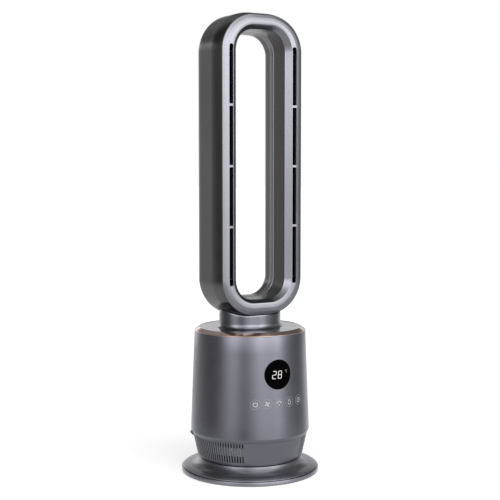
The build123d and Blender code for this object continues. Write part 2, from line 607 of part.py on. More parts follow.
NZ = PLATE_TOP + 0.05
flare = loft([Pos(0, 0, NZ) * Ellipse(NECK_A + 1.6, NECK_B + 1.6), Pos(0, 0, NZ + 0.9) * Ellipse(NECK_A + 0.7, NECK_B + 0.7),
              Pos(0, 0, NZ + 2.4) * Ellipse(NECK_A, NECK_B)], ruled=True)
neck = oval(NECK_A, NECK_B, NZ, 352.0) + flare
neck -= oval(NECK_A - NECK_WALL, NECK_B - NECK_WALL, 300, 360)
neck -= grown_loop(1.6)
neck = sorted(neck.solids(), key=lambda s: -s.volume)[0]
keep("neck", neck)
collar = oval(NECK_A - NECK_WALL - 0.1, NECK_B - NECK_WALL - 0.1, 305.9, 352.0) - oval(NECK_A - 5.3, NECK_B - 5.3, 290, 360)
collar -= oval(NECK_A, NECK_B, 300, 309.5) - oval(NECK_A - 5.5, NECK_B - 5.5, 300, 309.5)
collar -= grown_loop(0.3)
collar = sorted(collar.solids(), key=lambda s: -s.volume)[0]
keep("neck_collar", collar)

# wiring loom: up the hollow post, out over the bellmouth side and up to the control board
loom_path = FilletPolyline((0, 0, 14), (0, 0, 66), (-34, -84, 66), (-34, -84, 86), radius=9)
loom = sweep(Plane(origin=(0, 0, 14), z_dir=(0, 0, 1)) * Circle(2.6), path=loom_path)
keep("wiring_loom", loom)
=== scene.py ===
import bpy
import bmesh
import json
import math
from mathutils import Vector, Matrix
from mathutils.geometry import tessellate_polygon


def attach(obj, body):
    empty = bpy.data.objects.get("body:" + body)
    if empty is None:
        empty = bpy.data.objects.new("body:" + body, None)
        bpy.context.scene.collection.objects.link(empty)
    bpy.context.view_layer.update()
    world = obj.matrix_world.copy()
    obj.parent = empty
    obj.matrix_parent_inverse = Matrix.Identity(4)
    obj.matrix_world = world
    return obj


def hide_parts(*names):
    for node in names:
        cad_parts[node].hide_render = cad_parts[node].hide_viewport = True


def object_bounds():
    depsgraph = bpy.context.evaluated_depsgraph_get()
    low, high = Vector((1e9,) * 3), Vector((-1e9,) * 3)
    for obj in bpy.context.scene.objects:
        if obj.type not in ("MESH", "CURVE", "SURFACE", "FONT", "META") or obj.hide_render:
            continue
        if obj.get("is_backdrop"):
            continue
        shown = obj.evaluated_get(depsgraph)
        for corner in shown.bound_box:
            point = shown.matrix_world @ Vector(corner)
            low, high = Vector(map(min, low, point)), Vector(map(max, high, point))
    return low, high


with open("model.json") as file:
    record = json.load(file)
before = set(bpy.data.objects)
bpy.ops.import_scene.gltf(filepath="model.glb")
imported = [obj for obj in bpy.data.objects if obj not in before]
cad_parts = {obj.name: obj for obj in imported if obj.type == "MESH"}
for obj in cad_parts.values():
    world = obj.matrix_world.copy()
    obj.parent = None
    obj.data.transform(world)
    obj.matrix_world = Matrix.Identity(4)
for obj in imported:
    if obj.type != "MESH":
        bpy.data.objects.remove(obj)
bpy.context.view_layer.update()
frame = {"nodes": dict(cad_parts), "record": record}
scene = bpy.context.scene
MM = 0.001

# ---------------------------------------------------------------------------
# dimensions shared with the CAD part (millimetres, front of the fan towards -Y)
# ---------------------------------------------------------------------------
LOOP_XC, LOOP_ZT, LOOP_ZB = 18.5, 884.5, 415.0
LOOP_WALL = 2.6
RIBS = [524.8, 649.1, 773.7]
RIB_H = 4.5
LSLOT_Z0, LSLOT_Z1 = 402.8, 896.2
END_T = math.degrees(math.asin((LSLOT_Z1 - LOOP_ZT) / 56.25))
SHELL_R0, SHELL_Z0, SHELL_R1, SHELL_Z1 = 126.6, 91.4, 118.2, 302.2
CONE = [(111.0, 33.3), (112.1, 36.2), (122.4, 83.3)]
SLOT_W, SLOT_COUNT = 2.7, 126
SLOT_Z0, SLOT_Z1 = 40.5, 82.3
BLANK_HALF, COVER_HALF = 34.3, 59.5
COVER_Z0, COVER_Z1 = 38.6, 83.7
PLATE_TOP = 309.4
NECK_A, NECK_B = 68.0, 55.0
DISPLAY_R, DISPLAY_Z, TOUCH_Z = 31.0, 224.0, 165.0


def shell_r(z):
    return SHELL_R0 + (SHELL_R1 - SHELL_R0) * (z - SHELL_Z0) / (SHELL_Z1 - SHELL_Z0)


def lerp_r(pts, z):
    for (r0, z0), (r1, z1) in zip(pts, pts[1:]):
        if z0 <= z <= z1:
            return r0 + (r1 - r0) * (z - z0) / (z1 - z0)
    return pts[-1][0]


# ---------------------------------------------------------------------------
# materials: every finish is procedural
# ---------------------------------------------------------------------------
MATS = {}


class Tree:
    """small helper round a material's node tree"""

    def __init__(self, name):
        self.mat = bpy.data.materials.new(name)
        self.mat.use_nodes = True
        self.t = self.mat.node_tree
        self.t.nodes.clear()
        self.out = self.t.nodes.new("ShaderNodeOutputMaterial")
        self.bsdf = self.t.nodes.new("ShaderNodeBsdfPrincipled")
        self.link(self.bsdf.outputs[0], self.out.inputs[0])
        self.coord = self.t.nodes.new("ShaderNodeTexCoord").outputs["Object"]
        MATS[name] = self.mat

    def link(self, a, b):
        self.t.links.new(a, b)

    def set(self, **kw):
        names = {"color": "Base Color", "metallic": "Metallic", "rough": "Roughness", "coat": "Coat Weight",
                 "coat_rough": "Coat Roughness", "ior": "IOR", "spec": "Specular IOR Level", "sheen": "Sheen Weight",
                 "sheen_rough": "Sheen Roughness", "emit": "Emission Color", "emit_strength": "Emission Strength",
                 "aniso": "Anisotropic", "subsurface": "Subsurface Weight"}
        for k, v in kw.items():
            s = self.bsdf.inputs[names[k]]
            s.default_value = (*v, 1.0) if isinstance(v, (tuple, list)) and len(v) == 3 else v

    def mapped(self, scale):
        m = self.t.nodes.new("ShaderNodeMapping")
        m.inputs["Scale"].default_value = scale
        self.link(self.coord, m.inputs["Vector"])
        return m.outputs[0]

    def noise(self, scale, detail=3.0, rough=0.55, vec=None, distortion=0.0):
        n = self.t.nodes.new("ShaderNodeTexNoise")
        n.inputs["Scale"].default_value = scale
        n.inputs["Detail"].default_value = detail
        n.inputs["Roughness"].default_value = rough
        n.inputs["Distortion"].default_value = distortion
        self.link(vec or self.coord, n.inputs["Vector"])
        return n.outputs["Fac"]

    def voronoi(self, scale, feature="F1", out="Distance", vec=None):
        n = self.t.nodes.new("ShaderNodeTexVoronoi")
        n.feature = feature
        n.inputs["Scale"].default_value = scale
        self.link(vec or self.coord, n.inputs["Vector"])
        return n.outputs[out]

    def ramp(self, fac, stops, interp="LINEAR"):
        r = self.t.nodes.new("ShaderNodeValToRGB")
        r.color_ramp.interpolation = interp
        e = r.color_ramp.elements
        while len(e) < len(stops):
            e.new(0.5)
        for el, (p, c) in zip(e, stops):
            el.position = p
            el.color = (*c, 1.0) if isinstance(c, (tuple, list)) else (c, c, c, 1.0)
        self.link(fac, r.inputs[0])
        return r.outputs[0]

    def range(self, fac, a, b, lo=0.3, hi=0.7):
        n = self.t.nodes.new("ShaderNodeMapRange")
        n.inputs["From Min"].default_value = lo
        n.inputs["From Max"].default_value = hi
        n.inputs["To Min"].default_value = a
        n.inputs["To Max"].default_value = b
        self.link(fac, n.inputs["Value"])
        return n.outputs[0]

    def math(self, op, a, b):
        n = self.t.nodes.new("ShaderNodeMath")
        n.operation = op
        for s, v in zip(n.inputs, (a, b)):
            if isinstance(v, (int, float)):
                s.default_value = v
            else:
                self.link(v, s)
        return n.outputs[0]

    def mix(self, fac, a, b, mode="MIX"):
        n = self.t.nodes.new("ShaderNodeMix")
        n.data_type = "RGBA"
        n.blend_type = mode
        ins = [s for s in n.inputs if s.enabled]
        if isinstance(fac, (int, float)):
            n.inputs[0].default_value = fac
        else:
            self.link(fac, n.inputs[0])
        for s, v in ((n.inputs[6], a), (n.inputs[7], b)):
            if isinstance(v, (tuple, list)):
                s.default_value = (*v, 1.0)
            else:
                self.link(v, s)
        return n.outputs[2]

    def color(self, out):
        self.link(out, self.bsdf.inputs["Base Color"])

    def rough(self, out):
        self.link(out, self.bsdf.inputs["Roughness"])

    def bump(self, height, strength, distance):
        n = self.t.nodes.new("ShaderNodeBump")
        n.inputs["Strength"].default_value = strength
        n.inputs["Distance"].default_value = distance
        self.link(height, n.inputs["Height"])
        self.link(n.outputs[0], self.bsdf.inputs["Normal"])


def scaled(c, k):
    return tuple(min(1.0, x * k) for x in c)


def paint(name, color, metallic, rough, coat=0.2, flake=0.07, peel=0.05):
    """satin metallic paint: fine flake, cloudy tone, a trace of orange peel, roughness that drifts a little"""
    t = Tree(name)
    t.set(color=color, metallic=metallic, coat=coat, coat_rough=0.18, ior=1.5)
    fl = t.voronoi(1700.0, out="Color")
    sep = t.t.nodes.new("ShaderNodeSeparateColor")
    t.link(fl, sep.inputs[0])
    flakes = t.ramp(sep.outputs[0], [(0.0, scaled(color, 1 - flake)), (0.75, color), (1.0, scaled(color, 1 + 1.6 * flake))])
    cloud = t.ramp(t.noise(7.0, 3.0), [(0.3, 0.965), (0.7, 1.035)])
    t.color(t.mix(1.0, flakes, cloud, "MULTIPLY"))
    t.rough(t.range(t.noise(23.0, 4.0), rough - 0.03, rough + 0.035))
    t.bump(t.noise(420.0, 2.0), peel, 0.0002)
    return t.mat


def brushed(name, color, rough, scale=(30, 30, 900), metallic=1.0, tone=0.06):
    t = Tree(name)
    t.set(color=color, metallic=metallic, ior=1.5)
    v = t.mapped(scale)
    n = t.noise(1.0, 4.0, vec=v)
    t.color(t.ramp(n, [(0.3, scaled(color, 1 - tone)), (0.7, scaled(color, 1 + tone))]))
    t.rough(t.range(n, rough - 0.05, rough + 0.08))
    t.bump(n, 0.05, 0.0002)
    return t.mat


def moulded(name, color, rough, grain=1500.0, depth=0.16, tone=0.10):
    t = Tree(name)
    t.set(color=color, metallic=0.0, ior=1.5)
    n = t.noise(grain, 3.0)
    big = t.noise(35.0, 3.0)
    t.color(t.ramp(big, [(0.3, scaled(color, 1 - tone)), (0.7, scaled(color, 1 + tone))]))
    t.rough(t.range(n, rough - 0.06, rough + 0.08))
    t.bump(n, depth, 0.0003)
    return t.mat


BODY = (0.198, 0.200, 0.228)
paint("body_paint", BODY, 0.90, 0.22, coat=0.05)


def foot_paint():
    """the body's paint, with a painted highlight that makes it paler towards the rim of the foot"""
    paint("foot_paint", (0.190, 0.190, 0.212), 0.88, 0.26, coat=0.05)
    mat = MATS["foot_paint"]
    nt = mat.node_tree
    bsdf = next(n for n in nt.nodes if n.type == "BSDF_PRINCIPLED")
    link = bsdf.inputs["Base Color"].links[0]
    src = link.from_socket
    coord = next(n for n in nt.nodes if n.type == "TEX_COORD").outputs["Object"]
    flat = nt.nodes.new("ShaderNodeVectorMath")
    flat.operation = "MULTIPLY"
    flat.inputs[1].default_value = (1.0, 1.0, 0.0)
    nt.links.new(coord, flat.inputs[0])
    size = nt.nodes.new("ShaderNodeVectorMath")
    size.operation = "LENGTH"
    nt.links.new(flat.outputs[0], size.inputs[0])
    # painted highlight: the base colour is brightened from 116 to 131 mm radius and stays bright beyond, standing in
    # for the light the flare and disc catch
    rim_highlight_fade = nt.nodes.new("ShaderNodeMapRange")
    rim_highlight_fade.inputs["From Min"].default_value = 0.116
    rim_highlight_fade.inputs["From Max"].default_value = 0.131
    nt.links.new(size.outputs["Value"], rim_highlight_fade.inputs["Value"])
    pale = nt.nodes.new("ShaderNodeMix")
    pale.data_type = "RGBA"
    pale.blend_type = "ADD"
    nt.links.new(rim_highlight_fade.outputs[0], pale.inputs[0])
    nt.links.new(src, pale.inputs[6])
    pale.inputs[7].default_value = (0.13, 0.13, 0.145, 1.0)
    nt.links.new(pale.outputs[2], bsdf.inputs["Base Color"])


foot_paint()
paint("loop_paint", (0.148, 0.144, 0.143), 0.96, 0.20, coat=0.0)
paint("front_paint", (0.275, 0.280, 0.304), 0.95, 0.22, coat=0.0)
paint("neck_paint", (0.215, 0.218, 0.245), 0.93, 0.17, coat=0.1)
paint("throat_light", (0.260, 0.262, 0.270), 0.85, 0.30, coat=0.0)
brushed("rose_gold", (0.64, 0.50, 0.44), 0.13, scale=(40, 40, 1200), tone=0.05)


def throat_liner():
    """dark brown-grey inner wall of the front frame, turning to the paler paint over the top and the bottom"""
    t = Tree("throat_liner")
    dark, pale = (0.068, 0.062, 0.062), (0.27, 0.27, 0.28)
    t.set(color=dark, metallic=0.9, ior=1.5)
    sep = t.t.nodes.new("ShaderNodeSeparateXYZ")
    t.link(t.coord, sep.inputs[0])
    ax = t.math("ABSOLUTE", sep.outputs[0], 0.0)
    line = t.math("ADD", t.math("MULTIPLY", t.math("ADD", sep.outputs[1], 0.046), 0.7), 0.008)
    d = t.math("SUBTRACT", ax, line)
    mask = t.range(d, 0.0, 1.0, -0.002, 0.006)
    grain = t.ramp(t.noise(900.0, 3.0), [(0.3, 0.93), (0.7, 1.07)])
    t.color(t.mix(1.0, t.mix(mask, pale, dark), grain, "MULTIPLY"))
    t.rough(t.range(t.noise(40.0, 3.0), 0.26, 0.34))
    t.bump(t.noise(420.0, 2.0), 0.05, 0.0002)


throat_liner()


def polished_lacquer():
    t = Tree("top_gloss")
    c = (0.31, 0.31, 0.335)
    t.set(color=c, metallic=0.95, coat=0.5, coat_rough=0.05, ior=1.5)
    t.color(t.ramp(t.noise(60.0, 4.0), [(0.3, scaled(c, 0.97)), (0.7, scaled(c, 1.03))]))
    t.rough(t.range(t.noise(30.0, 4.0), 0.12, 0.19))
    t.bump(t.noise(240.0, 2.0), 0.02, 0.0002)


polished_lacquer()


def black_glass():
    t = Tree("black_gloss")
    t.set(color=(0.0015, 0.0015, 0.0018), metallic=0.0, spec=0.0, ior=1.45)
    t.color(t.ramp(t.noise(90.0, 4.0), [(0.35, (0.0012, 0.0012, 0.0014)), (0.7, (0.0024, 0.0024, 0.0028))]))
    t.rough(t.range(t.noise(55.0, 5.0), 0.06, 0.14))


black_glass()
moulded("black_plastic", (0.012, 0.012, 0.013), 0.55)
# a darker copy of the black plastic for parts deep in recesses: painted shade
moulded("black_plastic_painted_shade", (0.006, 0.006, 0.0065), 0.62)
moulded("white_plastic", (0.74, 0.74, 0.72), 0.42, depth=0.08, tone=0.03)
moulded("rubber", (0.018, 0.018, 0.018), 0.8, grain=900.0, depth=0.3)


def filter_media():
    t = Tree("filter_media")
    # faint glow on the media: painted light, so it reads bright through the slots
    t.set(color=(0.62, 0.63, 0.63), metallic=0.0, sheen=0.25, sheen_rough=0.5, emit=(0.9, 0.9, 0.95), emit_strength=0.075)
    fib = t.noise(1.0, 5.0, 0.7, vec=t.mapped((900, 900, 2600)), distortion=1.2)
    big = t.noise(60.0, 4.0)
    c = t.ramp(fib, [(0.25, (0.46, 0.47, 0.47)), (0.75, (0.74, 0.75, 0.75))])
    t.color(t.mix(1.0, c, t.ramp(big, [(0.3, 0.9), (0.7, 1.05)]), "MULTIPLY"))
    t.rough(t.range(fib, 0.8, 0.95))
    t.bump(fib, 0.5, 0.0005)


filter_media()
brushed("steel", (0.55, 0.55, 0.56), 0.30, scale=(600, 600, 600), tone=0.08)
brushed("motor_can", (0.45, 0.46, 0.48), 0.34, scale=(30, 30, 700), tone=0.10)
brushed("heater_alu", (0.70, 0.70, 0.71), 0.38, scale=(250, 250, 30), tone=0.07)


def cast():
    t = Tree("ballast")
    c = (0.10, 0.10, 0.10)
    t.set(color=c, metallic=0.7)
    n = t.noise(260.0, 6.0, 0.65)
    t.color(t.ramp(n, [(0.3, (0.055, 0.055, 0.056)), (0.6, c), (0.8, (0.15, 0.11, 0.085))]))
    t.rough(t.range(n, 0.55, 0.8))
    t.bump(n, 0.6, 0.0006)


cast()


def board():
    t = Tree("board")
    t.set(color=(0.012, 0.07, 0.035), metallic=0.0, coat=0.5, coat_rough=0.1)
    v = t.mapped((420, 420, 420))
    b = t.t.nodes.new("ShaderNodeTexBrick")
    b.inputs["Scale"].default_value = 1.0
    b.inputs["Mortar Size"].default_value = 0.06
    b.inputs["Color1"].default_value = (0.012, 0.075, 0.036, 1)
    b.inputs["Color2"].default_value = (0.010, 0.055, 0.028, 1)
    b.inputs["Mortar"].default_value = (0.03, 0.16, 0.08, 1)
    t.link(v, b.inputs["Vector"])
    t.color(b.outputs["Color"])
    t.rough(t.range(t.noise(300.0, 3.0), 0.30, 0.45))
    t.bump(b.outputs["Fac"], 0.15, 0.0002)


board()


def ink(name, c):
    """pale printed marks"""
    t = Tree(name)
    t.set(color=c, metallic=0.0, ior=1.45)
    t.color(t.ramp(t.noise(800.0, 3.0), [(0.3, scaled(c, 0.9)), (0.7, scaled(c, 1.08))]))
    t.rough(t.range(t.noise(500.0, 3.0), 0.42, 0.56))


ink("printed_ink", (0.52, 0.52, 0.55))
ink("faint_ink", (0.26, 0.26, 0.28))


def lit(name, strength):
    t = Tree(name)
    t.set(color=(0.5, 0.46, 0.44), metallic=0.0, emit=(1.0, 0.90, 0.85), emit_strength=strength)
    n = t.noise(500.0, 2.0)
    t.link(t.ramp(n, [(0.3, (0.93, 0.84, 0.80)), (0.7, (1.0, 0.91, 0.87))]), t.bsdf.inputs["Emission Color"])
    t.rough(t.range(n, 0.3, 0.4))


lit("lit_segments", 0.72)
lit("lit_unit", 0.07)


def floor_mat():
    t = Tree("pale_floor")
    t.set(color=(0.86, 0.86, 0.86), metallic=0.0, spec=0.0, emit=(1.0, 1.0, 1.0), emit_strength=0.53)
    n = t.noise(3.0, 4.0)
    t.color(t.ramp(n, [(0.3, 0.855), (0.7, 0.865)]))
    t.rough(t.range(n, 0.9, 0.95))


floor_mat()


# ---------------------------------------------------------------------------
# mesh helpers
# ---------------------------------------------------------------------------
def add_mesh(name, verts, faces, mat, body, replaces=(), sharp=38.0, mats=(), choose=None):
    """verts in millimetres; faces as index lists; shaded smooth with sharp edges above an angle; choose(centre) gives the finish"""
    me = bpy.data.meshes.new(name)
    me.from_pydata([(x * MM, y * MM, z * MM) for x, y, z in verts], [], faces)
    bm = bmesh.new()
    bm.from_mesh(me)
    bmesh.ops.remove_doubles(bm, verts=bm.verts, dist=1e-8)
    bmesh.ops.dissolve_degenerate(bm, dist=1e-8, edges=bm.edges)
    bmesh.ops.recalc_face_normals(bm, faces=bm.faces)
    lim = math.radians(sharp)
    for f in bm.faces:
        f.smooth = True
    for e in bm.edges:
        e.smooth = not (len(e.link_faces) == 2 and e.calc_face_angle(0.0) > lim) and len(e.link_faces) == 2
    bm.to_mesh(me)
    bm.free()
    me.materials.append(MATS[mat])
    for m in mats:
        me.materials.append(MATS[m])
    if choose:
        for p in me.polygons:
            p.material_index = choose(p.center / MM, p.normal)
    ob = bpy.data.objects.new(name, me)
    scene.collection.objects.link(ob)
    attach(ob, body)
    if replaces:
        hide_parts(*replaces)
    return ob


def cell_solid(outer, inner, present, closed_k, closed_i=False):
    """closed solid from a grid of wall cells. outer[k][i] and inner[k][i] are points, present(k, i) tells which cells exist"""
    K, I = len(outer), len(outer[0])
    verts, faces = [], []
    index = {}

    def vid(layer, k, i):
        k %= K
        i %= I
        key = (layer, k, i)
        if key not in index:
            index[key] = len(verts)
            verts.append((outer if layer == 0 else inner)[k][i])
        return index[key]

    nk = K if closed_k else K - 1
    ni = I if closed_i else I - 1
    cell = [[present(k, i) for i in range(ni)] for k in range(nk)]

    def has(k, i):
        if closed_k:
            k %= nk
        if closed_i:
            i %= ni
        return 0 <= k < nk and 0 <= i < ni and cell[k][i]

    for k in range(nk):
        for i in range(ni):
            if not cell[k][i]:
                continue
            a, b, c, d = (k, i), (k, i + 1), (k + 1, i + 1), (k + 1, i)
            faces.append([vid(0, *a), vid(0, *b), vid(0, *c), vid(0, *d)])
            faces.append([vid(1, *d), vid(1, *c), vid(1, *b), vid(1, *a)])
            for (dk, di), (p, q) in (((-1, 0), (b, a)), ((1, 0), (d, c)), ((0, -1), (a, d)), ((0, 1), (c, b))):
                if not has(k + dk, i + di):
                    faces.append([vid(0, *p), vid(0, *q), vid(1, *q), vid(1, *p)])
    return verts, faces


def revolve(profile, steps=256, closed=True):
    """full turn of a closed (r, z) profile"""
    n = len(profile)
    verts, faces, ring = [], [], []
    for r, z in profile:
        if r < 1e-6:
            ring.append([len(verts)])
            verts.append((0.0, 0.0, z))
        else:
            ring.append(list(range(len(verts), len(verts) + steps)))
            for s in range(steps):
                a = 2 * math.pi * s / steps
                verts.append((r * math.cos(a), r * math.sin(a), z))
    for j in range(n if closed else n - 1):
        a, b = ring[j], ring[(j + 1) % n]
        if len(a) == 1 and len(b) == 1:
            continue
        for s in range(steps):
            s1 = (s + 1) % steps
            q = [a[s % len(a)], a[s1 % len(a)], b[s1 % len(b)], b[s % len(b)]]
            f = []
            for v in q:
                if v not in f:
                    f.append(v)
            if len(f) >= 3:
                faces.append(f)
    return verts, faces


def rounded(pts, radii, seg=4, closed=True):
    """rounds the corners of a polygon or polyline; radii is a number or one value per corner"""
    n = len(pts)
    out = []
    for i, p in enumerate(pts):
        r = radii if isinstance(radii, (int, float)) else radii[i]
        if r <= 0 or (not closed and i in (0, n - 1)):
            out.append(p)
            continue
        a, b = Vector(pts[i - 1]) - Vector(p), Vector(pts[(i + 1) % n]) - Vector(p)
        la, lb = a.length, b.length
        a.normalize()
        b.normalize()
        ang = a.angle(b)
        if ang > math.pi - 0.02:
            out.append(p)
            continue
        d = min(r / math.tan(ang / 2), 0.48 * la, 0.48 * lb)
        rr = d * math.tan(ang / 2)
        c = Vector(p) + (a + b).normalized() * (rr / math.sin(ang / 2))
        s, e = Vector(p) + a * d - c, Vector(p) + b * d - c
        t0 = math.atan2(s.y, s.x)
        t1 = math.atan2(e.y, e.x)
        dt = (t1 - t0 + math.pi) % (2 * math.pi) - math.pi
        for j in range(seg + 1):
            t = t0 + dt * j / seg
            out.append((c.x + rr * math.cos(t), c.y + rr * math.sin(t)))
    return out


def arc3(p, q, r, n):
    """points on the arc through p, q, r, without the first"""
    (ax, ay), (bx, by), (cx, cy) = p, q, r
    d = 2 * (ax * (by - cy) + bx * (cy - ay) + cx * (ay - by))
    ux = ((ax * ax + ay * ay) * (by - cy) + (bx * bx + by * by) * (cy - ay) + (cx * cx + cy * cy) * (ay - by)) / d
    uy = ((ax * ax + ay * ay) * (cx - bx) + (bx * bx + by * by) * (ax - cx) + (cx * cx + cy * cy) * (bx - ax)) / d
    rad = math.hypot(ax - ux, ay - uy)
    t0, t1, t2 = (math.atan2(y - uy, x - ux) for x, y in (p, q, r))
    full = (t2 - t0) % (2 * math.pi)
    part = (t1 - t0) % (2 * math.pi)
    if part > full:
        full -= 2 * math.pi
    return [(ux + rad * math.cos(t0 + full * j / n), uy + rad * math.sin(t0 + full * j / n)) for j in range(1, n + 1)]


def arcc(cx, cy, r, a0, a1, n):
    """points on an arc by centre and degrees, without the first"""
    return [(cx + r * math.cos(math.radians(a0 + (a1 - a0) * j / n)), cy + r * math.sin(math.radians(a0 + (a1 - a0) * j / n)))
            for j in range(1, n + 1)]


def offset_chain(chain, dist, ends=None):
    """points moved to the left of the walking direction by dist; ends give the two end normals"""
    out = []
    n = len(chain)
    for i, (x, y) in enumerate(chain):
        x0, y0 = chain[max(i - 1, 0)]
        x1, y1 = chain[min(i + 1, n - 1)]
        dx, dy = x1 - x0, y1 - y0
        l = math.hypot(dx, dy) or 1.0
        nx, ny = -dy / l, dx / l
        if ends and i == 0:
            nx, ny = ends[0]
        if ends and i == n - 1:
            nx, ny = ends[1]
        out.append((x + nx * dist, y + ny * dist))
    return out


# ---------------------------------------------------------------------------
# the loop: one limb section carried round the stadium-shaped ring
# ---------------------------------------------------------------------------
# every station is (centre x, centre z, direction x, direction z); a section point (x, y) lands at centre + (x - LOOP_XC) * direction
def ring_stations(extra):
    """extra: z heights on the straight limbs and corner angles where a station has to lie"""
    zs = sorted(set([LOOP_ZB, LOOP_ZT] + [z for z in extra["z"] if LOOP_ZB < z < LOOP_ZT]))
    fine = []
    for a, b in zip(zs, zs[1:]):
        m = max(1, int((b - a) / 40))
        fine += [a + (b - a) * j / m for j in range(m)]
    zs = fine + [LOOP_ZT]
    base = [90.0 * j / 28 for j in range(29)]
    ts = sorted(set([t for t in base if all(abs(t - e) > 0.8 for e in extra["t"])] + list(extra["t"]) + [0.0, 90.0]))
    st = []
    tags = []
    for z in zs:                                    # right limb, going up
        st.append((LOOP_XC, z, 1.0, 0.0)); tags.append(("R", z))
    for t in ts[1:]:                                # top right corner
        r = math.radians(t)
        st.append((LOOP_XC, LOOP_ZT, math.cos(r), math.sin(r))); tags.append(("TR", t))
    st.append((-LOOP_XC, LOOP_ZT, 0.0, 1.0)); tags.append(("TL", 90.0))
    for t in reversed(ts[:-1]):                     # top left corner
        r = math.radians(t)
        st.append((-LOOP_XC, LOOP_ZT, -math.cos(r), math.sin(r))); tags.append(("TL", t))
    for z in reversed(zs[:-1]):                     # left limb, going down
        st.append((-LOOP_XC, z, -1.0, 0.0)); tags.append(("L", z))
    for t in ts[1:]:
        r = math.radians(t)
        st.append((-LOOP_XC, LOOP_ZB, -math.cos(r), -math.sin(r))); tags.append(("BL", t))
    st.append((LOOP_XC, LOOP_ZB, 0.0, -1.0)); tags.append(("BR", 90.0))
    for t in reversed(ts[1:-1]):
        r = math.radians(t)
        st.append((LOOP_XC, LOOP_ZB, math.cos(r), -math.sin(r))); tags.append(("BR", t))
    return st, tags


def place(station, p):
    cx, cz, dx, dz = station
    r = p[0] - LOOP_XC
    return (cx + r * dx, p[1], cz + r * dz)


def along(tag):
    """height-like measure of a station on either limb: z on the straights, carried on along the slot's line in the corners"""
    kind, v = tag
    if kind in "RL":
        return v
    s = math.radians(v) * 56.25
    return LOOP_ZT + s if kind in ("TR", "TL") else LOOP_ZB - s


S_TOP = LOOP_ZT + math.radians(END_T) * 56.25
S_BOT = LOOP_ZB - math.radians(END_T) * 56.25
R_END = 3.2
ends = [0.0, 0.35, 1.0, 1.9, R_END]
t_extra = sorted(set(END_T - math.degrees(d / 56.25) for d in ends))
z_extra = []
for r in RIBS:
    for s in (-1, 1):
        z_extra += [r + s * RIB_H / 2, r + s * (RIB_H / 2 + 0.35), r + s * (RIB_H / 2 + 1.1)]
stations, tags = ring_stations({"z": z_extra, "t": t_extra})


def in_slot(s):
    if not (S_BOT < s < S_TOP):
        return False
    return all(abs(s - r) > RIB_H / 2 for r in RIBS)


def inset(s):
    """how far the slot's long edges stand in near its ends"""
    d = min(abs(s - S_TOP), abs(s - S_BOT))
    if d < R_END:
        return R_END - math.sqrt(max(0.0, R_END ** 2 - (R_END - d) ** 2))
    for r in RIBS:
        d = abs(abs(s - r) - RIB_H / 2)
        if d < 1.1:
            return 1.1 - math.sqrt(max(0.0, 1.1 ** 2 - (1.1 - d) ** 2))
    return 0.0


# the opening is taller than the limbs' wall lets it be: over the corners the inner surfaces stand further out, by depth in Y
LIFT_TOP = [(-60.0, 4.1), (-57.9, 4.1), (-45.9, 6.1), (7.0, 3.0), (38.0, 0.8), (56.4, 0.0), (60.0, 0.0)]
LIFT_BOTTOM = [(-60.0, 0.5), (-57.9, 0.5), (-45.9, 4.4), (7.0, 2.0), (38.0, 0.0), (60.0, 0.0)]


def lift(tag, y):
    kind, v = tag
    if kind in "RL":
        return 0.0
    return math.sin(math.radians(v)) ** 2 * lerp_table(LIFT_TOP if kind[0] == "T" else LIFT_BOTTOM, y)


def lerp_table(table, y):
    for (y0, v0), (y1, v1) in zip(table, table[1:]):
        if y <= y1:
            return v0 + (v1 - v0) * max(0.0, y - y0) / (y1 - y0)
    return table[-1][1]


def wall_x(y):
    """inner wall of the limb, from the crisp edge back"""
    return 57.7 + (y + 45.8) * 3.3 / 83.7


# front frame section, outer skin from the seam round the front to the seam on the inner wall
STRIP_A, STRIP_B = (79.3, -58.53), (70.2, -57.85)
front_chain = [(92.55, -53.65), (92.95, -53.85), (93.06, -54.0), (92.98, -54.28), (92.72, -54.47), (92.3, -54.64), (89.5, -55.78),
               (86.3, -57.08), (85.95, -57.20), (85.6, -57.28), (82.5, -57.93), (79.65, -58.49)]
i_a = len(front_chain)
front_chain += [STRIP_A, STRIP_B]
i_b = i_a + 1
front_chain += [(69.0, -57.76), (68.62, -57.66), (68.2, -57.35), (65.6, -54.46), (62.0, -50.46), (58.5, -46.57), (58.1, -46.15),
                (57.87, -45.90), (57.75, -45.62), (57.725, -45.2)]
i_e = i_b + 6                                   # first point of the crisp edge's small rounding
front_chain += [(wall_x(y), y) for y in (-41.0, -34.0, -26.0, -18.0, -10.0, -2.0, 2.2, 6.3)]
front_chain += [(59.95, 6.72), (60.4, 6.8)]


def inward(chain, dist):
    """inner skin: each point moved towards the inside of the limb section"""
    cx, cy = 78.0, 5.0
    out = offset_chain(chain, dist)
    test = offset_chain(chain, 1.0)
    k = len(chain) // 2
    if math.hypot(test[k][0] - cx, test[k][1] - cy) > math.hypot(chain[k][0] - cx, chain[k][1] - cy):
        out = offset_chain(chain, -dist)
    return out


f_inner = inward(front_chain, LOOP_WALL)
f_inner[:5] = [(91.05, -52.0), (91.0, -52.15), (90.95, -52.3), (90.8, -52.44), (90.6, -52.53)]
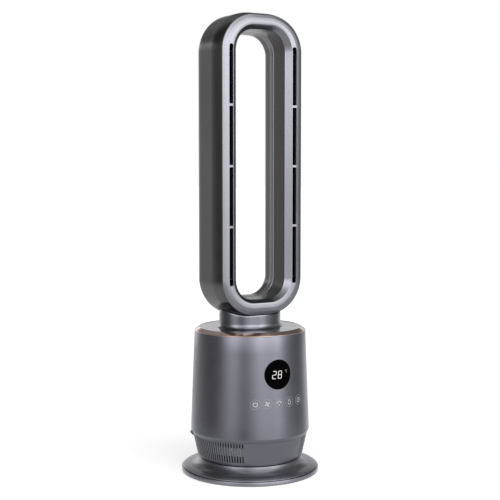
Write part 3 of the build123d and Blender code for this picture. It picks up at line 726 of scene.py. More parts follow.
# the inner skin has one plain corner behind the crisp edge
f_inner[i_e:i_e + 5] = [(60.7, -45.05), (60.45, -44.8), (60.36, -44.45), (60.38, -44.0), (60.4, -43.4)]
f_inner[-2], f_inner[-1] = (62.45, 6.0), (62.5, 6.4)
outer, inner = [], []
for st, tag in zip(stations, tags):
    s = along(tag)
    e = inset(s) if S_BOT - 0.01 <= s <= S_TOP + 0.01 else 0.0
    row, irow = list(front_chain), list(f_inner)
    ux, uy = (STRIP_B[0] - STRIP_A[0]) / 9.125, (STRIP_B[1] - STRIP_A[1]) / 9.125
    row[i_a] = (STRIP_A[0] + ux * e, STRIP_A[1] + uy * e)
    row[i_b] = (STRIP_B[0] - ux * e, STRIP_B[1] - uy * e)
    irow[i_a] = (row[i_a][0], row[i_a][1] + LOOP_WALL + 0.2)
    irow[i_b] = (row[i_b][0], row[i_b][1] + LOOP_WALL + 0.2)
    for r in (row, irow):
        for j in range(i_b, len(r)):
            r[j] = (r[j][0] + lift(tag, r[j][1]), r[j][1])
    outer.append([place(st, p) for p in row])
    inner.append([place(st, p) for p in irow])
mid = [(along(tags[k]) + along(tags[(k + 1) % len(tags)])) / 2 for k in range(len(tags))]
v, f = cell_solid(outer, inner, lambda k, i: not (i == i_a and in_slot(mid[k])), closed_k=True)


def ring_radius(p):
    """distance of a point from the line of the corner centres, in the XZ plane"""
    dx = max(abs(p[0]) - LOOP_XC, 0.0)
    dz = max(p[2] - LOOP_ZT, LOOP_ZB - p[2], 0.0)
    return math.hypot(dx, dz)


add_mesh("loop_front", v, f, "front_paint", "fan_body", ["loop_front_frame"], sharp=28,
         mats=["throat_liner", "throat_light"], choose=lambda c, n: 0 if c[1] < -45.6 or ring_radius(c) > 48.0 else 1 if c[1] < 2.2 else 2)

# rear shell section, outer skin from the outer seam round the back to the seam on the inner wall
rear_chain = [(92.8, -53.15), (93.12, -53.42), (93.33, -53.25)]
rear_chain += [p for p in arc3((92.9, -54.4), (98.58, -35.07), (100.4, -15.0), 24) if p[1] > -51.5]
rear_chain += [(100.4 + 0.6 * j / 5, -15.0 + 49.9 * j / 5) for j in range(1, 6)]
rear_chain += arcc(79.5, 34.9, 21.5, 0, 90, 14)
i_c = len(rear_chain)                           # from here on the points belong to the inner side
rear_chain += arcc(79.5, 37.9, 18.5, 90, 180, 12)
rear_chain += [(wall_x(y), y) for y in (33.0, 27.0, 22.2, 21.8, 15.0, 7.8)]
rear_chain += [(59.92, 7.32), (60.4, 7.2)]
r_inner = inward(rear_chain, LOOP_WALL)
r_inner[0], r_inner[1], r_inner[2] = (91.12, -51.8), (91.16, -51.7), (91.2, -51.55)
r_inner[-2], r_inner[-1] = (62.45, 8.0), (62.5, 7.6)
outer, inner = [], []
for st, tag in zip(stations, tags):
    for chain, rows in ((rear_chain, outer), (r_inner, inner)):
        rows.append([place(st, (x + (lift(tag, y) if j >= i_c else 0.0), y)) for j, (x, y) in enumerate(chain)])
v, f = cell_solid(outer, inner, lambda k, i: True, closed_k=True)
add_mesh("loop_rear", v, f, "loop_paint", "fan_body", ["loop_rear_shell"], sharp=40, mats=["throat_light"],
         choose=lambda c, n: 1 if 6.9 < c[1] < 22.0 and ring_radius(c) < 50.0 else 0)


# ---------------------------------------------------------------------------
# neck: oval tube with a filleted foot and a saddle top under the loop
# ---------------------------------------------------------------------------
LOOP_FRONT_R = [(-54.4, 74.4), (-45.0, 77.6), (-35.0, 80.1), (-25.0, 81.2), (-15.0, 81.9), (34.9, 82.5), (60.0, 82.5)]


def saddle_z(x, y, grow):
    r = lerp_table(LOOP_FRONT_R, y) + grow
    ax = abs(x)
    if ax <= LOOP_XC:
        return LOOP_ZB - r
    return LOOP_ZB - math.sqrt(max(r * r - (ax - LOOP_XC) ** 2, 0.0))


N = 160
FLARE_OUT, FLARE_UP = 6.5, 10.0
foot = [(FLARE_OUT * (1 - math.sin(math.radians(q))), FLARE_UP * (1 - math.cos(math.radians(q)))) for q in range(0, 91, 9)]
outer, inner = [], []
for k in range(N):
    a = 2 * math.pi * k / N
    ca, sa = math.cos(a), math.sin(a)
    zt = saddle_z(NECK_A * ca, NECK_B * sa, 1.7)
    col, icol = [], []
    for o, dz in foot:
        col.append(((NECK_A + o) * ca, (NECK_B + o) * sa, PLATE_TOP + 0.06 + dz))
        icol.append(((NECK_A - 2.6) * ca, (NECK_B - 2.6) * sa, PLATE_TOP + 0.06 + dz))
    z0 = PLATE_TOP + 0.06 + FLARE_UP
    for j in range(1, 7):
        z = z0 + (zt - 0.7 - z0) * j / 6
        col.append((NECK_A * ca, NECK_B * sa, z))
        icol.append(((NECK_A - 2.6) * ca, (NECK_B - 2.6) * sa, z))
    for o, dz in ((-0.2, -0.2), (-0.7, 0.0)):
        col.append(((NECK_A + o) * ca, (NECK_B + o) * sa, zt + dz))
        icol.append(((NECK_A - 2.6) * ca, (NECK_B - 2.6) * sa, zt + dz))
    outer.append(col)
    inner.append(icol)
v, f = cell_solid(outer, inner, lambda k, i: True, closed_k=True)
add_mesh("neck_tube", v, f, "neck_paint", "fan_body", ["neck"], sharp=50)

# ---------------------------------------------------------------------------
# body: shell with its bottom chamfer, trim ring, lacquered top
# ---------------------------------------------------------------------------
prof = rounded([(122.7, 83.6), (SHELL_R0, SHELL_Z0), (SHELL_R1 + 0.02, SHELL_Z1 - 0.02), (SHELL_R1 - 3.0, SHELL_Z1),
                (SHELL_R0 - 3.0, SHELL_Z0 - 0.6), (119.5, 83.6)], [0.35, 0.9, 0.45, 0, 0, 0.3], seg=4)
# a few rings up the wall so that the long faces stay even
wall = []
for (r0, z0), (r1, z1) in zip(prof, prof[1:] + prof[:1]):
    wall.append((r0, z0))
    if abs(z1 - z0) > 60:
        wall += [(r0 + (r1 - r0) * j / 6, z0 + (z1 - z0) * j / 6) for j in range(1, 6)]
v, f = revolve(wall, 320)
add_mesh("body_skin", v, f, "body_paint", "fan_body", ["body_shell"], sharp=42)

prof = rounded([(118.15, 302.25), (118.25, 302.7), (118.25, 303.6), (108.5, 309.85), (107.3, 309.9), (107.05, 309.5), (107.05, 304.3),
                (112.4, 304.2), (115.0, 302.25)], [0, 0, 0.8, 0.7, 0.2, 0, 0, 0, 0], seg=5)
v, f = revolve(prof, 320)
add_mesh("trim_band", v, f, "rose_gold", "fan_body", ["trim_ring"], sharp=35)

# lacquered top plate with its oval hole
outer, inner = [], []
for k in range(192):
    a = 2 * math.pi * k / 192
    ca, sa = math.cos(a), math.sin(a)
    rows = []
    for s in [0.0, 0.004, 0.15, 0.3, 0.45, 0.6, 0.75, 0.9, 0.985, 0.996, 1.0]:
        x = (62.6 + (106.9 - 62.6) * s) * ca
        y = (49.6 + (106.9 - 49.6) * s) * sa
        z = PLATE_TOP - (0.35 if s in (0.0, 1.0) else 0.09 if s in (0.996, 0.004) else 0.0)
        rows.append((x, y, z))
    outer.append(rows)
    inner.append([(x, y, 305.9) for x, y, z in rows])
v, f = cell_solid(outer, inner, lambda k, i: True, closed_k=True)
add_mesh("top_disc", v, f, "top_gloss", "fan_body", ["top_plate"], sharp=40)

# ---------------------------------------------------------------------------
# slotted lower housing and the removable rear cover
# ---------------------------------------------------------------------------
PITCH = 360.0 / SLOT_COUNT
side = []
a = BLANK_HALF + PITCH / 2
while a < 180 - COVER_HALF - PITCH * 0.6:
    side.append(a)
    a += PITCH
rear_s = []
a = 0.0
while a < COVER_HALF - PITCH * 0.8:
    rear_s.append(a)
    a += PITCH
SIDE_SLOTS = sorted(side + [360 - s for s in side])
REAR_SLOTS = sorted([180 + s for s in rear_s] + [180 - s for s in rear_s[1:]])


def cone_point(deg_front, z, off=0.0):
    """deg_front is measured from the front (-Y) towards +X"""
    r = lerp_r(CONE, z) + off
    a = math.radians(deg_front - 90.0)
    return (r * math.cos(a), r * math.sin(a), z)


def slotted_band(lo, hi, slots, z_lo, z_hi, zs_extra, slot_z, off_in, edge=0.35):
    """band of the cone between two angles with round-ended upright slots"""
    half = math.degrees(SLOT_W / 2 / 117.0)
    cols = []                # (angle, slot index or None, side)
    marks = sorted(s for s in slots if lo < s < hi)
    edges = []
    for s in marks:
        edges.append((s - half, s, -1))
        edges.append((s + half, s, 1))
    # gaps wider than a pitch are filled with plain columns
    fill = []
    cols = [(lo, None, 0)] + edges + [(hi, None, 0)]
    for (a0, _, _), (a1, _, _) in zip(cols, cols[1:]):
        gap = a1 - a0
        if gap > 3.2:
            m = int(gap / 2.4)
            fill += [(a0 + gap * j / (m + 1), None, 0) for j in range(1, m + 1)]
    cols = sorted(cols + fill, key=lambda c: c[0])
    r_end = SLOT_W / 2 - 0.25
    zs = [z_lo, z_lo + edge] + list(zs_extra)
    for z0, z1 in [slot_z]:
        for d in (0.0, 0.25 * r_end, 0.6 * r_end, r_end):
            zs += [z0 + d, z1 - d]
        zs += [z0 + (z1 - z0) * q for q in (0.25, 0.5, 0.75)]
    zs += [z_hi - edge, z_hi]
    zs = sorted(set(round(z, 4) for z in zs))
    z0, z1 = slot_z

    def end_in(z):
        d = min(abs(z - z0), abs(z - z1))
        return r_end - math.sqrt(max(0.0, r_end ** 2 - (r_end - d) ** 2)) if d < r_end else 0.0

    outer, inner = [], []
    for ang, s, sd in cols:
        o, i = [], []
        for z in zs:
            aa = ang
            if s is not None and z0 - 1e-6 <= z <= z1 + 1e-6:
                aa = ang - sd * math.degrees(end_in(z) / 117.0)
            rim = 0.25 if z in (zs[0], zs[-1]) else 0.0
            o.append(cone_point(aa, z, -rim))
            i.append(cone_point(aa, z, -off_in))
        outer.append(o)
        inner.append(i)

    def present(k, i):
        a, b = cols[k], cols[(k + 1) % len(cols)]
        zm = (zs[i] + zs[i + 1]) / 2
        return not (a[1] is not None and a[1] == b[1] and a[2] == -1 and z0 < zm < z1)

    return cell_solid(outer, inner, present, closed_k=False)


# housing: full ring below the cover's window, sides and front above it
def housing_mesh():
    half = math.degrees(SLOT_W / 2 / 117.0)
    r_end = SLOT_W / 2 - 0.25
    z0, z1 = SLOT_Z0, SLOT_Z1
    zs = [33.3, 33.65, 34.6, 36.2, COVER_Z0]
    for d in (0.0, 0.25 * r_end, 0.6 * r_end, r_end):
        zs += [z0 + d, z1 - d]
    zs += [z0 + (z1 - z0) * q for q in (0.25, 0.5, 0.75)] + [83.3]
    zs = sorted(set(round(z, 4) for z in zs))
    cols = []
    for s in SIDE_SLOTS:
        cols += [(s - half, s, -1), (s + half, s, 1)]
    lo, hi = 180 - COVER_HALF, 180 + COVER_HALF
    cols += [(lo, None, 0), (hi, None, 0)]
    cols = sorted(cols)
    fill = []
    ring = cols + [(cols[0][0] + 360, None, 0)]
    for (a0, _, _), (a1, _, _) in zip(ring, ring[1:]):
        if a1 - a0 > 3.2:
            m = int((a1 - a0) / 2.0)
            fill += [((a0 + (a1 - a0) * j / (m + 1)) % 360, None, 0) for j in range(1, m + 1)]
    cols = sorted(cols + fill, key=lambda c: c[0])

    def end_in(z):
        d = min(abs(z - z0), abs(z - z1))
        return r_end - math.sqrt(max(0.0, r_end ** 2 - (r_end - d) ** 2)) if d < r_end else 0.0

    outer, inner = [], []
    for ang, s, sd in cols:
        o, i = [], []
        for z in zs:
            aa = ang
            if s is not None and z0 - 1e-6 <= z <= z1 + 1e-6:
                aa = ang - sd * math.degrees(end_in(z) / 117.0)
            rim = {33.3: 0.45, 33.65: 0.08}.get(z, 0.0)
            o.append(cone_point(aa, z, -rim))
            i.append(cone_point(aa, z, -2.8))
        outer.append(o)
        inner.append(i)

    def present(k, i):
        a, b = cols[k], cols[(k + 1) % len(cols)]
        zm = (zs[i] + zs[i + 1]) / 2
        am = (a[0] + (b[0] if b[0] > a[0] else b[0] + 360)) / 2 % 360
        if lo < am < hi and zm > COVER_Z0:
            return False
        return not (a[1] is not None and a[1] == b[1] and a[2] == -1 and z0 < zm < z1)

    return cell_solid(outer, inner, present, closed_k=True)


v, f = housing_mesh()
add_mesh("housing_skin", v, f, "body_paint", "fan_body", ["lower_housing"], sharp=35)

GAPC = 0.35
lo, hi = 180 - COVER_HALF + 0.22, 180 + COVER_HALF - 0.22
v, f = slotted_band(lo, hi, REAR_SLOTS, COVER_Z0 + GAPC, COVER_Z1 - GAPC - 0.4, [69.0, 80.6], (SLOT_Z0, 68.9), 2.8)
add_mesh("cover_skin", v, f, "body_paint", "rear_cover", ["rear_cover"], sharp=35)


# pull lip along the cover
def lip_mesh():
    prof = rounded([(lerp_r(CONE, 69.0) - 1.0, 69.0), (lerp_r(CONE, 69.0) + 0.3, 69.0), (127.0, 73.6), (129.4, 76.4), (129.4, 79.6),
                    (128.6, 80.6), (lerp_r(CONE, 80.6) - 1.0, 80.6)], [0, 1.2, 2.5, 1.2, 0.6, 0.5, 0], seg=4)
    verts, faces = [], []
    n = 64
    P = len(prof)
    for k in range(n + 1):
        d = 180 - 59.0 + 118.0 * k / n
        # the lip ends bluntly, with a short rounding at both ends
        q = 0.35 + min(k, n - k) / 1.2
        ease = 1.0 if q >= 1 else math.sqrt(max(0.0, 1 - (1 - q) ** 2)) * 0.97 + 0.03
        a = math.radians(d - 90.0)
        for r, z in prof:
            base = lerp_r(CONE, z) - 0.9
            rr = base + max(0.0, r - base) * ease
            verts.append((rr * math.cos(a), rr * math.sin(a), z))
    for k in range(n):
        for j in range(P):
            j1 = (j + 1) % P
            faces.append([k * P + j, k * P + j1, (k + 1) * P + j1, (k + 1) * P + j])
    faces.append(list(range(P)))
    faces.append([n * P + j for j in reversed(range(P))])
    return verts, faces


v, f = lip_mesh()
add_mesh("pull_lip", v, f, "body_paint", "rear_cover", sharp=45)


# pleated filter media behind the slots
def pleats(name, centre_front, half, body, replaces, z0=51.0, z1=68.0):
    pitch = 2.1
    rad_mid = 101.0
    n = int(2 * math.radians(half) * rad_mid / pitch) * 2
    pts = []
    for k in range(n + 1):
        d = centre_front - half + 2 * half * k / n
        r = 105.2 if k % 2 else 98.5
        pts.append((d, r))
    outer, inner = [], []
    for d, r in pts:
        a = math.radians(d - 90.0)
        o, i = [], []
        for z in (z0, z0 + 0.6, (z0 + z1) / 2, z1 - 0.6, z1):
            o.append((r * math.cos(a), r * math.sin(a), z))
            i.append(((r - 0.9) * math.cos(a), (r - 0.9) * math.sin(a), z))
        outer.append(o)
        inner.append(i)
    v, f = cell_solid(outer, inner, lambda k, i: True, closed_k=False)
    return add_mesh(name, v, f, "filter_media", body, replaces, sharp=25)


pleats("pleats_right", 76.4, 41.5, "fan_body", ["side_filter"])
pleats("pleats_left", -76.4, 41.5, "fan_body", [])
pleats("pleats_rear", 180.0, 55.1, "rear_cover", ["rear_filter"])

# ---------------------------------------------------------------------------
# base: flared foot over a round disc, with the parting groove between them
# ---------------------------------------------------------------------------
fl = arc3((130.5, 15.0), (130.5 - 22 * math.cos(math.radians(50)), 37 - 22 * math.sin(math.radians(50))),
          (130.5 - math.sqrt(22 ** 2 - 5.5 ** 2), 31.5), 18)
deck = fl.pop()
prof = rounded([(143.35, 11.3), (143.6, 11.9), (141.4, 12.9), (130.5, 15.0)], [0, 0.35, 0.9, 0], seg=3, closed=False)
prof += fl
prof += rounded([fl[-1], deck, (64.0, 31.5)], [0, 0.7, 0], seg=4, closed=False)[1:]
prof += [(64.0, 28.7), (108.0, 28.7)]
prof += [(112.4, 22.0), (118.0, 16.5), (130.5, 12.2), (137.6, 11.6), (140.9, 11.3)]
v, f = revolve(prof, 320)
add_mesh("foot_skin", v, f, "foot_paint", "base", ["base_foot"], sharp=40)

prof = rounded([(0, 1.0), (146.2, 1.0), (146.2, 9.7), (140.3, 9.7), (140.3, 10.9), (138.2, 10.9), (138.2, 4.0), (0, 4.0)],
               [0, 0.7, 0.9, 0.1, 0.2, 0.2, 0, 0], seg=4)
v, f = revolve(prof, 320)
add_mesh("disc_skin", v, f, "foot_paint", "base", ["base_disc"], sharp=40)

# ---------------------------------------------------------------------------
# display window, digits and touch marks, laid on the shell's cone
# ---------------------------------------------------------------------------
def on_shell(s, z, off):
    """s runs round the shell from the front, towards +X, in millimetres"""
    r = shell_r(z)
    a = s / r
    return ((r + off) * math.sin(a), -(r + off) * math.cos(a), z)


def glass_disc():
    rings = [0.0, 4.0, 8.0, 12.0, 16.0, 20.0, 24.0, 28.0, 30.0, 30.55, 30.9, 31.0]
    n = 96
    verts, faces = [], []
    tops = []
    for q in rings:
        off = 0.15 if q < 30.5 else 0.12 if q < 30.8 else 0.02 if q < 30.95 else -0.2
        if q == 0:
            tops.append([len(verts)])
            verts.append(on_shell(0, DISPLAY_Z, off))
            continue
        tops.append(list(range(len(verts), len(verts) + n)))
        for k in range(n):
            a = 2 * math.pi * k / n
            x, z = q * math.cos(a), DISPLAY_Z + q * math.sin(a)
            r = shell_r(z) + off
            verts.append((x, -math.sqrt(r * r - x * x), z))
    back = list(range(len(verts), len(verts) + n))
    for k in range(n):
        a = 2 * math.pi * k / n
        x, z = 31.0 * math.cos(a), DISPLAY_Z + 31.0 * math.sin(a)
        r = shell_r(z) - 1.5
        verts.append((x, -math.sqrt(r * r - x * x), z))
    tops.append(back)
    for a, b in zip(tops, tops[1:]):
        for k in range(n):
            k1 = (k + 1) % n
            if len(a) == 1:
                faces.append([a[0], b[k], b[k1]])
            else:
                faces.append([a[k], b[k], b[k1], a[k1]])
    c = len(verts)
    verts.append(on_shell(0, DISPLAY_Z, -1.5))
    for k in range(n):
        faces.append([back[(k + 1) % n], back[k], c])
    return verts, faces


v, f = glass_disc()
add_mesh("display_glass", v, f, "black_gloss", "fan_body", ["display_window"], sharp=40)


def plate(loops, top, bottom):
    """closed thin plate on the shell: outline loops (outer, then holes) in (s, z)"""
    verts, faces = [], []
    flat = [p for lp in loops for p in lp]
    tris = tessellate_polygon([[Vector((x, z, 0)) for x, z in lp] for lp in loops])
    n = len(flat)
    verts += [on_shell(x, z, top) for x, z in flat]
    verts += [on_shell(x, z, bottom) for x, z in flat]
    for t in tris:
        faces.append(list(t))
        faces.append([n + i for i in reversed(t)])
    at = 0
    for lp in loops:
        m = len(lp)
        for i in range(m):
            j = (i + 1) % m
            faces.append([at + i, at + j, n + at + j, n + at + i])
        at += m
    return verts, faces


def join(parts):
    verts, faces = [], []
    for v, f in parts:
        n = len(verts)
        verts += v
        faces += [[i + n for i in q] for q in f]
    return verts, faces


def ring_loop(cx, cz, r, n=48, rev=False):
    pts = [(cx + r * math.cos(2 * math.pi * k / n), cz + r * math.sin(2 * math.pi * k / n)) for k in range(n)]
    return pts[::-1] if rev else pts


def circle_plate(cx, cz, r0, r1, n=48, top=0.1, bottom=-0.4):
    """ring or disc built from quads, so that it follows the curved wall"""
    verts, faces = [], []
    rows = []
    for r in (r0, r1):
        rows.append([(cx + r * math.cos(2 * math.pi * k / n), cz + r * math.sin(2 * math.pi * k / n)) for k in range(n)])
    for off in (top, bottom):
        for row in rows:
            verts += [on_shell(x, z, off) for x, z in row]
    for k in range(n):
        j = (k + 1) % n
        faces.append([k, n + k, n + j, j])
        faces.append([2 * n + j, 3 * n + j, 3 * n + k, 2 * n + k])
        faces.append([n + k, 3 * n + k, 3 * n + j, n + j])
        faces.append([j, 2 * n + j, 2 * n + k, k])
    return verts, faces


def stroke(pts, w, top=0.1, bottom=-0.4, closed=False, pointed=False):
    """line of constant width through points (s, z)"""
    n = len(pts)
    left, right = [], []
    for i, (x, z) in enumerate(pts):
        p0 = pts[(i - 1) % n] if (closed or i > 0) else pts[i]
        p1 = pts[(i + 1) % n] if (closed or i < n - 1) else pts[i]
        d = Vector((p1[0] - p0[0], p1[1] - p0[1]))
        d = d.normalized() if d.length > 1e-9 else Vector((1, 0))
        nx, nz = -d.y, d.x
        left.append((x + nx * w / 2, z + nz * w / 2))
        right.append((x - nx * w / 2, z - nz * w / 2))
    verts, faces = [], []
    for off in (top, bottom):
        verts += [on_shell(x, z, off) for x, z in left]
        verts += [on_shell(x, z, off) for x, z in right]
    m = n if closed else n - 1
    for i in range(m):
        j = (i + 1) % n
        faces.append([i, n + i, n + j, j])
        faces.append([2 * n + j, 3 * n + j, 3 * n + i, 2 * n + i])
        faces.append([n + i, 3 * n + i, 3 * n + j, n + j])
        faces.append([j, 2 * n + j, 2 * n + i, i])
    if not closed:
        faces.append([0, 2 * n, 3 * n, n])
        faces.append([n - 1, 2 * n - 1, 4 * n - 1, 3 * n - 1])
    return verts, faces


# seven-segment digits, leaning a little
SLANT = 0.10


def segment_shape(x0, z0, x1, z1, w):
    """bar with mitred ends"""
    h = w / 2
    if abs(x1 - x0) > abs(z1 - z0):
        return [(x0, z0), (x0 + h, z0 + h), (x1 - h, z0 + h), (x1, z0), (x1 - h, z0 - h), (x0 + h, z0 - h)]
    return [(x0, z0), (x0 + h, z0 + h), (x0 + h, z1 - h), (x0, z1), (x0 - h, z1 - h), (x0 - h, z0 + h)]


def digit(segs, cx, cz, w, h, t):
    g = 0.28
    x0, x1 = cx - w / 2 + t / 2, cx + w / 2 - t / 2
    zb, zm, zt = cz - h / 2 + t / 2, cz, cz + h / 2 - t / 2
    where = {"a": (x0 + g, zt, x1 - g, zt), "g": (x0 + g, zm, x1 - g, zm), "d": (x0 + g, zb, x1 - g, zb),
             "f": (x0, zm + g, x0, zt - g), "b": (x1, zm + g, x1, zt - g), "e": (x0, zb + g, x0, zm - g), "c": (x1, zb + g, x1, zm - g)}
    out = []
    for s in segs:
        pts = segment_shape(*where[s], t)
        pts = [(x + (z - cz) * SLANT, z) for x, z in pts]
        out.append(plate([pts], 0.28, -0.1))
    return out


parts = []
parts += digit("abged", -9.2, DISPLAY_Z - 0.4, 8.8, 16.0, 1.0)
parts += digit("abcdefg", 3.6, DISPLAY_Z - 0.4, 8.8, 16.0, 1.0)
v, f = join(parts)
add_mesh("digits", v, f, "lit_segments", "fan_body", sharp=30)
parts = [circle_plate(17.0, DISPLAY_Z + 7.2, 0.4, 0.85, 16, 0.28, -0.1)]
cpts = [(20.4 + 1.5 * math.cos(math.radians(a)), DISPLAY_Z + 5.6 + 2.2 * math.sin(math.radians(a))) for a in range(50, 311, 20)]
parts.append(stroke(cpts, 0.55, 0.28, -0.1))
v, f = join(parts)
add_mesh("unit_mark", v, f, "lit_unit", "fan_body", sharp=30)

# five touch fields: a thin ring and a small generic pictogram in each
marks = []
signs = []
LINE = 0.55
for k, deg in enumerate((-23.7, -12.0, 0.2, 12.4, 25.6)):
    cx = math.radians(deg) * shell_r(TOUCH_Z)
    cz = TOUCH_Z
    marks.append(circle_plate(cx, cz, 10.2 - LINE, 10.2, 64, 0.08, -0.4))

    def arcpts(r, a0, a1, n=14, ox=0.0, oz=0.0):
        return [(cx + ox + r * math.cos(math.radians(a0 + (a1 - a0) * j / n)), cz + oz + r * math.sin(math.radians(a0 + (a1 - a0) * j / n)))
                for j in range(n + 1)]

    if k == 0:      # power: open ring and a bar
        signs.append(stroke(arcpts(4.6, 125, 415, 24), 1.15, 0.08))
        signs.append(stroke([(cx, cz + 1.0), (cx, cz + 5.8)], 1.15, 0.08))
    elif k == 1:    # fan: hub and blades
        signs.append(circle_plate(cx, cz, 0.2, 1.5, 20, 0.08))
        for q in range(4):
            b = 90 * q + 20
            ang = math.radians(b)
            pts = []
            for u, w in ((1.9, 0.3), (3.2, 1.5), (4.8, 2.0), (5.6, 0.9), (5.2, -0.7), (3.6, -0.9), (2.0, -0.4)):
                pts.append((cx + u * math.cos(ang) - w * math.sin(ang), cz + u * math.sin(ang) + w * math.cos(ang)))
            signs.append(plate([pts], 0.08, -0.4))
    elif k == 2:    # turning: a dot between two bent arrows
        signs.append(circle_plate(cx, cz - 3.6, 0.2, 1.3, 20, 0.08))
        signs.append(stroke(arcpts(5.2, 25, 155, 18, 0, -1.2), 1.05, 0.08))
        for sgn in (-1, 1):
            tip = (cx + sgn * 5.6, cz - 0.6)
            signs.append(plate([[tip, (tip[0] - sgn * 2.3, tip[1] + 1.0), (tip[0] + sgn * 1.0, tip[1] + 2.5)]], 0.08, -0.4))
    elif k == 3:    # warm air: a drop-shaped flame
        pts = [(cx + x, cz + z) for x, z in ((0, 6.0), (-0.9, 3.6), (-3.0, 1.0), (-3.7, -1.6), (-2.6, -4.2), (0, -5.4), (2.6, -4.2), (3.7, -1.6),
                                             (2.9, 0.9), (1.9, 2.0), (1.4, 0.6), (0.9, 3.2))]
        signs.append(stroke(pts, 0.95, 0.08, closed=True))
    else:           # timer: clock hands in a small ring
        signs.append(circle_plate(cx, cz, 4.2, 5.1, 40, 0.08))
        signs.append(stroke([(cx, cz + 3.0), (cx, cz), (cx + 2.2, cz - 0.9)], 0.9, 0.08))
v, f = join(marks)
add_mesh("touch_rings", v, f, "faint_ink", "fan_body", sharp=30)
v, f = join(signs)
add_mesh("touch_signs", v, f, "printed_ink", "fan_body", sharp=30)

# ---------------------------------------------------------------------------
# finishes of the CAD nodes that stay
# ---------------------------------------------------------------------------
slots = {s["node"]: s["material_slot"] for s in frame["record"]["subparts"]}
# the collar, nozzles and filter frames get the darker black plastic: painted shade for their recesses
own = {"neck_collar": "black_plastic_painted_shade", "nozzle_right": "black_plastic_painted_shade", "nozzle_left": "black_plastic_painted_shade", "glide_ring": "black_plastic",
       "side_filter_frames": "black_plastic_painted_shade", "rear_filter_frame": "black_plastic_painted_shade"}
for n, o in frame["nodes"].items():
    o.data.materials.clear()
    o.data.materials.append(MATS[own.get(n, slots.get(n, "black_plastic"))])
    for p in o.data.polygons:
        p.material_index = 0

# ---------------------------------------------------------------------------
# floor, light and camera
# ---------------------------------------------------------------------------
me = bpy.data.meshes.new("floor")
R = 40.0
n = 64
me.from_pydata([(0, 0, 0)] + [(R * math.cos(2 * math.pi * k / n), R * math.sin(2 * math.pi * k / n), 0) for k in range(n)], [],
               [[0, 1 + k, 1 + (k + 1) % n] for k in range(n)])
me.materials.append(MATS["pale_floor"])
floor = bpy.data.objects.new("floor", me)
scene.collection.objects.link(floor)
floor.visible_glossy = False
floor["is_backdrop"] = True

# soft studio surround: upright soft panels painted by direction, pale overhead, white behind the camera's view
world = bpy.data.worlds.new("studio")
scene.world = world
world.use_nodes = True
wt = world.node_tree
wt.nodes.clear()
wout = wt.nodes.new("ShaderNodeOutputWorld")


def wn(kind, **kw):
    n = wt.nodes.new(kind)
    for k, v in kw.items():
        setattr(n, k, v)
    return n


def wmath(op, a, b=None):
    n = wn("ShaderNodeMath", operation=op)
    for s, v in zip(n.inputs, (a, b)):
        if v is None:
            continue
        if isinstance(v, (int, float)):
            s.default_value = v
        else:
            wt.links.new(v, s)
    return n.outputs[0]


def wramp(fac, stops, interp="B_SPLINE"):
    r = wn("ShaderNodeValToRGB")
    r.color_ramp.interpolation = interp
    e = r.color_ramp.elements
    while len(e) < len(stops):
        e.new(0.5)
    for el, (p, c) in zip(e, stops):
        el.position = p
        el.color = (*c, 1.0) if isinstance(c, (tuple, list)) else (c, c, c, 1.0)
    wt.links.new(fac, r.inputs[0])
    return r.outputs[0]


tc = wn("ShaderNodeTexCoord")
sep = wn("ShaderNodeSeparateXYZ")
wt.links.new(tc.outputs["Generated"], sep.inputs[0])
az = wmath("ARCTAN2", sep.outputs[0], wmath("MULTIPLY", sep.outputs[1], -1.0))     # 0 at the front, growing towards +X
azn = wmath("ADD", wmath("DIVIDE", az, 2 * math.pi), 0.5)
K = 0.5                                  # ramp colours are stored at half strength


def az_stops(table):
    return [((d + 180.0) / 360.0, c * K) for d, c in table]


# front half of the room: left panel, twin front panels, dark gap on the right
FRONT = [(-180, 0.0), (-128, 0.0), (-119, 0.11), (-100, 0.13), (-90, 0.24), (-80, 0.62), (-66, 1.20), (-56, 1.15), (-44, 0.62), (-36, 0.58),
         (-28, 0.95), (-18, 1.45), (-8, 1.80), (4, 1.60), (16, 1.50), (28, 1.95), (36, 1.50), (46, 0.72), (58, 0.36), (70, 0.20),
         (92, 0.20), (104, 0.10), (112, 0.0), (180, 0.0)]
# back wall, split by the dark corner behind the left shoulder
REAR = [(-180, 2.30), (-166, 1.80), (-154, 0.80), (-142, 0.48), (-130, 0.30), (-118, 0.04), (-108, 0.0), (92, 0.0), (102, 0.48), (114, 1.00), (128, 1.15),
        (152, 1.05), (166, 1.50), (180, 2.30)]
# pale table top seen in the paint, close to the horizon
TABLE = [(-180, 0.26), (-150, 0.44), (-128, 0.16), (-112, 0.02), (-98, 0.08), (-84, 0.40), (-66, 0.74), (-54, 0.42), (-42, 0.06), (-30, 0.14),
         (-14, 0.56), (0, 0.92), (14, 1.02), (28, 1.10), (40, 0.78), (54, 0.52), (74, 0.26), (88, 0.28), (100, 0.48), (114, 1.05), (150, 0.80), (180, 0.26)]
# the same table further towards the fan's foot, where it is more even
APRON = [(-180, 0.90), (-150, 0.62), (-118, 0.44), (-96, 0.48), (-70, 0.62), (-52, 0.42), (-38, 0.28), (-20, 0.50), (-4, 0.92), (12, 1.08), (30, 0.96),
         (48, 0.66), (72, 0.54), (92, 0.56), (116, 0.84), (150, 1.00), (180, 0.90)]
front = wramp(azn, az_stops(FRONT), "LINEAR")
rear = wramp(azn, az_stops(REAR), "LINEAR")
table = wramp(azn, az_stops(TABLE), "LINEAR")
apron = wramp(azn, az_stops(APRON), "LINEAR")
elev = wmath("ADD", wmath("MULTIPLY", sep.outputs[2], 0.5), 0.5)


def el_stops(table):
    return [(0.5 + 0.5 * math.sin(math.radians(d)), c) for d, c in table]


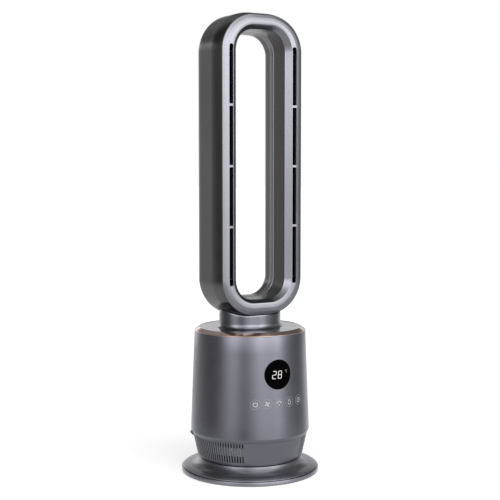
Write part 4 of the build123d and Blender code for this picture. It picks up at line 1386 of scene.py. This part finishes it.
# the front panels hang high and grow with height, the back wall fades with height
f_level = wramp(elev, el_stops([(-90, 0.25), (-10, 0.40), (-4.5, 0.50), (0, 0.56), (3.5, 0.72), (6, 0.90), (18, 0.86), (34, 0.52), (56, 0.36), (90, 0.36)]), "LINEAR")
r_level = wramp(elev, el_stops([(-90, 0.3), (-4.5, 0.3), (0, 0.32), (6, 0.27), (9, 0.31), (12, 0.48), (15, 0.40), (19, 0.08), (29, 0.06), (60, 0.09), (90, 0.3)]), "LINEAR")
above = wramp(elev, el_stops([(-90, 0.0), (-15, 0.0), (-9, 0.35), (-4.5, 0.92), (-1, 1.0), (90, 1.0)]), "LINEAR")
near = wramp(elev, el_stops([(-90, 0.0), (-13.5, 0.0), (-9, 1.0), (90, 1.0)]), "LINEAR")
middle = wramp(elev, el_stops([(-90, 0.0), (-22, 0.0), (-14.5, 1.0), (90, 1.0)]), "LINEAR")
roof = wramp(elev, el_stops([(-90, 0.0), (64, 0.0), (81, 0.9), (90, 1.0)]), "LINEAR")
left = wramp(azn, az_stops([(-180, 0.0), (-88, 0.0), (-74, 0.7), (-60, 1.0), (-40, 1.0), (-26, 0.0), (180, 0.0)]), "LINEAR")
rise = wramp(elev, el_stops([(-90, 0.0), (0, 0.0), (3.5, 0.7), (6, 1.0), (30, 0.8), (50, 0.0), (90, 0.0)]), "LINEAR")


def blend(w, a, b):
    """w of a and the rest of b"""
    return wmath("ADD", wmath("MULTIPLY", a, w), wmath("MULTIPLY", b, wmath("SUBTRACT", 1.0, w)))


side_light = wmath("ADD", wmath("MULTIPLY", wmath("MULTIPLY", front, f_level), 2.0 / K), wmath("MULTIPLY", wmath("MULTIPLY", rear, r_level), 2.0 / K))
side_light = wmath("ADD", side_light, wmath("MULTIPLY", wmath("MULTIPLY", left, rise), 0.55 / K))
floor_light = blend(near, wmath("MULTIPLY", table, 1.0 / K), blend(middle, wmath("MULTIPLY", apron, 1.0 / K), 0.62))
total = blend(roof, 0.80, blend(above, side_light, floor_light))
bg1 = wn("ShaderNodeBackground")
comb = wn("ShaderNodeCombineXYZ")
wt.links.new(total, comb.inputs[0])
wt.links.new(total, comb.inputs[1])
wt.links.new(wmath("MULTIPLY", total, 1.015), comb.inputs[2])
wt.links.new(comb.outputs[0], bg1.inputs[0])
bg2 = wn("ShaderNodeBackground")
bg2.inputs[0].default_value = (1, 1, 1, 1)
bg2.inputs[1].default_value = 1.0
lp = wn("ShaderNodeLightPath")
mixs = wn("ShaderNodeMixShader")
wt.links.new(lp.outputs["Is Camera Ray"], mixs.inputs[0])
wt.links.new(bg1.outputs[0], mixs.inputs[1])
wt.links.new(bg2.outputs[0], mixs.inputs[2])
wt.links.new(mixs.outputs[0], wout.inputs[0])

scene.view_settings.view_transform = "Standard"
scene.view_settings.look = "None"

# camera: solved from the photograph's ellipses and verticals
cam = bpy.data.cameras.new("camera")
cam.sensor_width = 36.0
cam.lens = 79.49
cam.shift_x = 0.0001
cam.clip_start, cam.clip_end = 0.1, 200.0
co = bpy.data.objects.new("camera", cam)
scene.collection.objects.link(co)
pitch = math.radians(4.1316)
fwd = Vector((0.479426 * math.cos(pitch), 0.877583 * math.cos(pitch), -math.sin(pitch)))
co.location = (-1.12213, -2.05407, 0.64077)
co.rotation_mode = "QUATERNION"
co.rotation_quaternion = fwd.to_track_quat("-Z", "Y")
scene.camera = co
bpy.context.view_layer.update()

lo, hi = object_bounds()
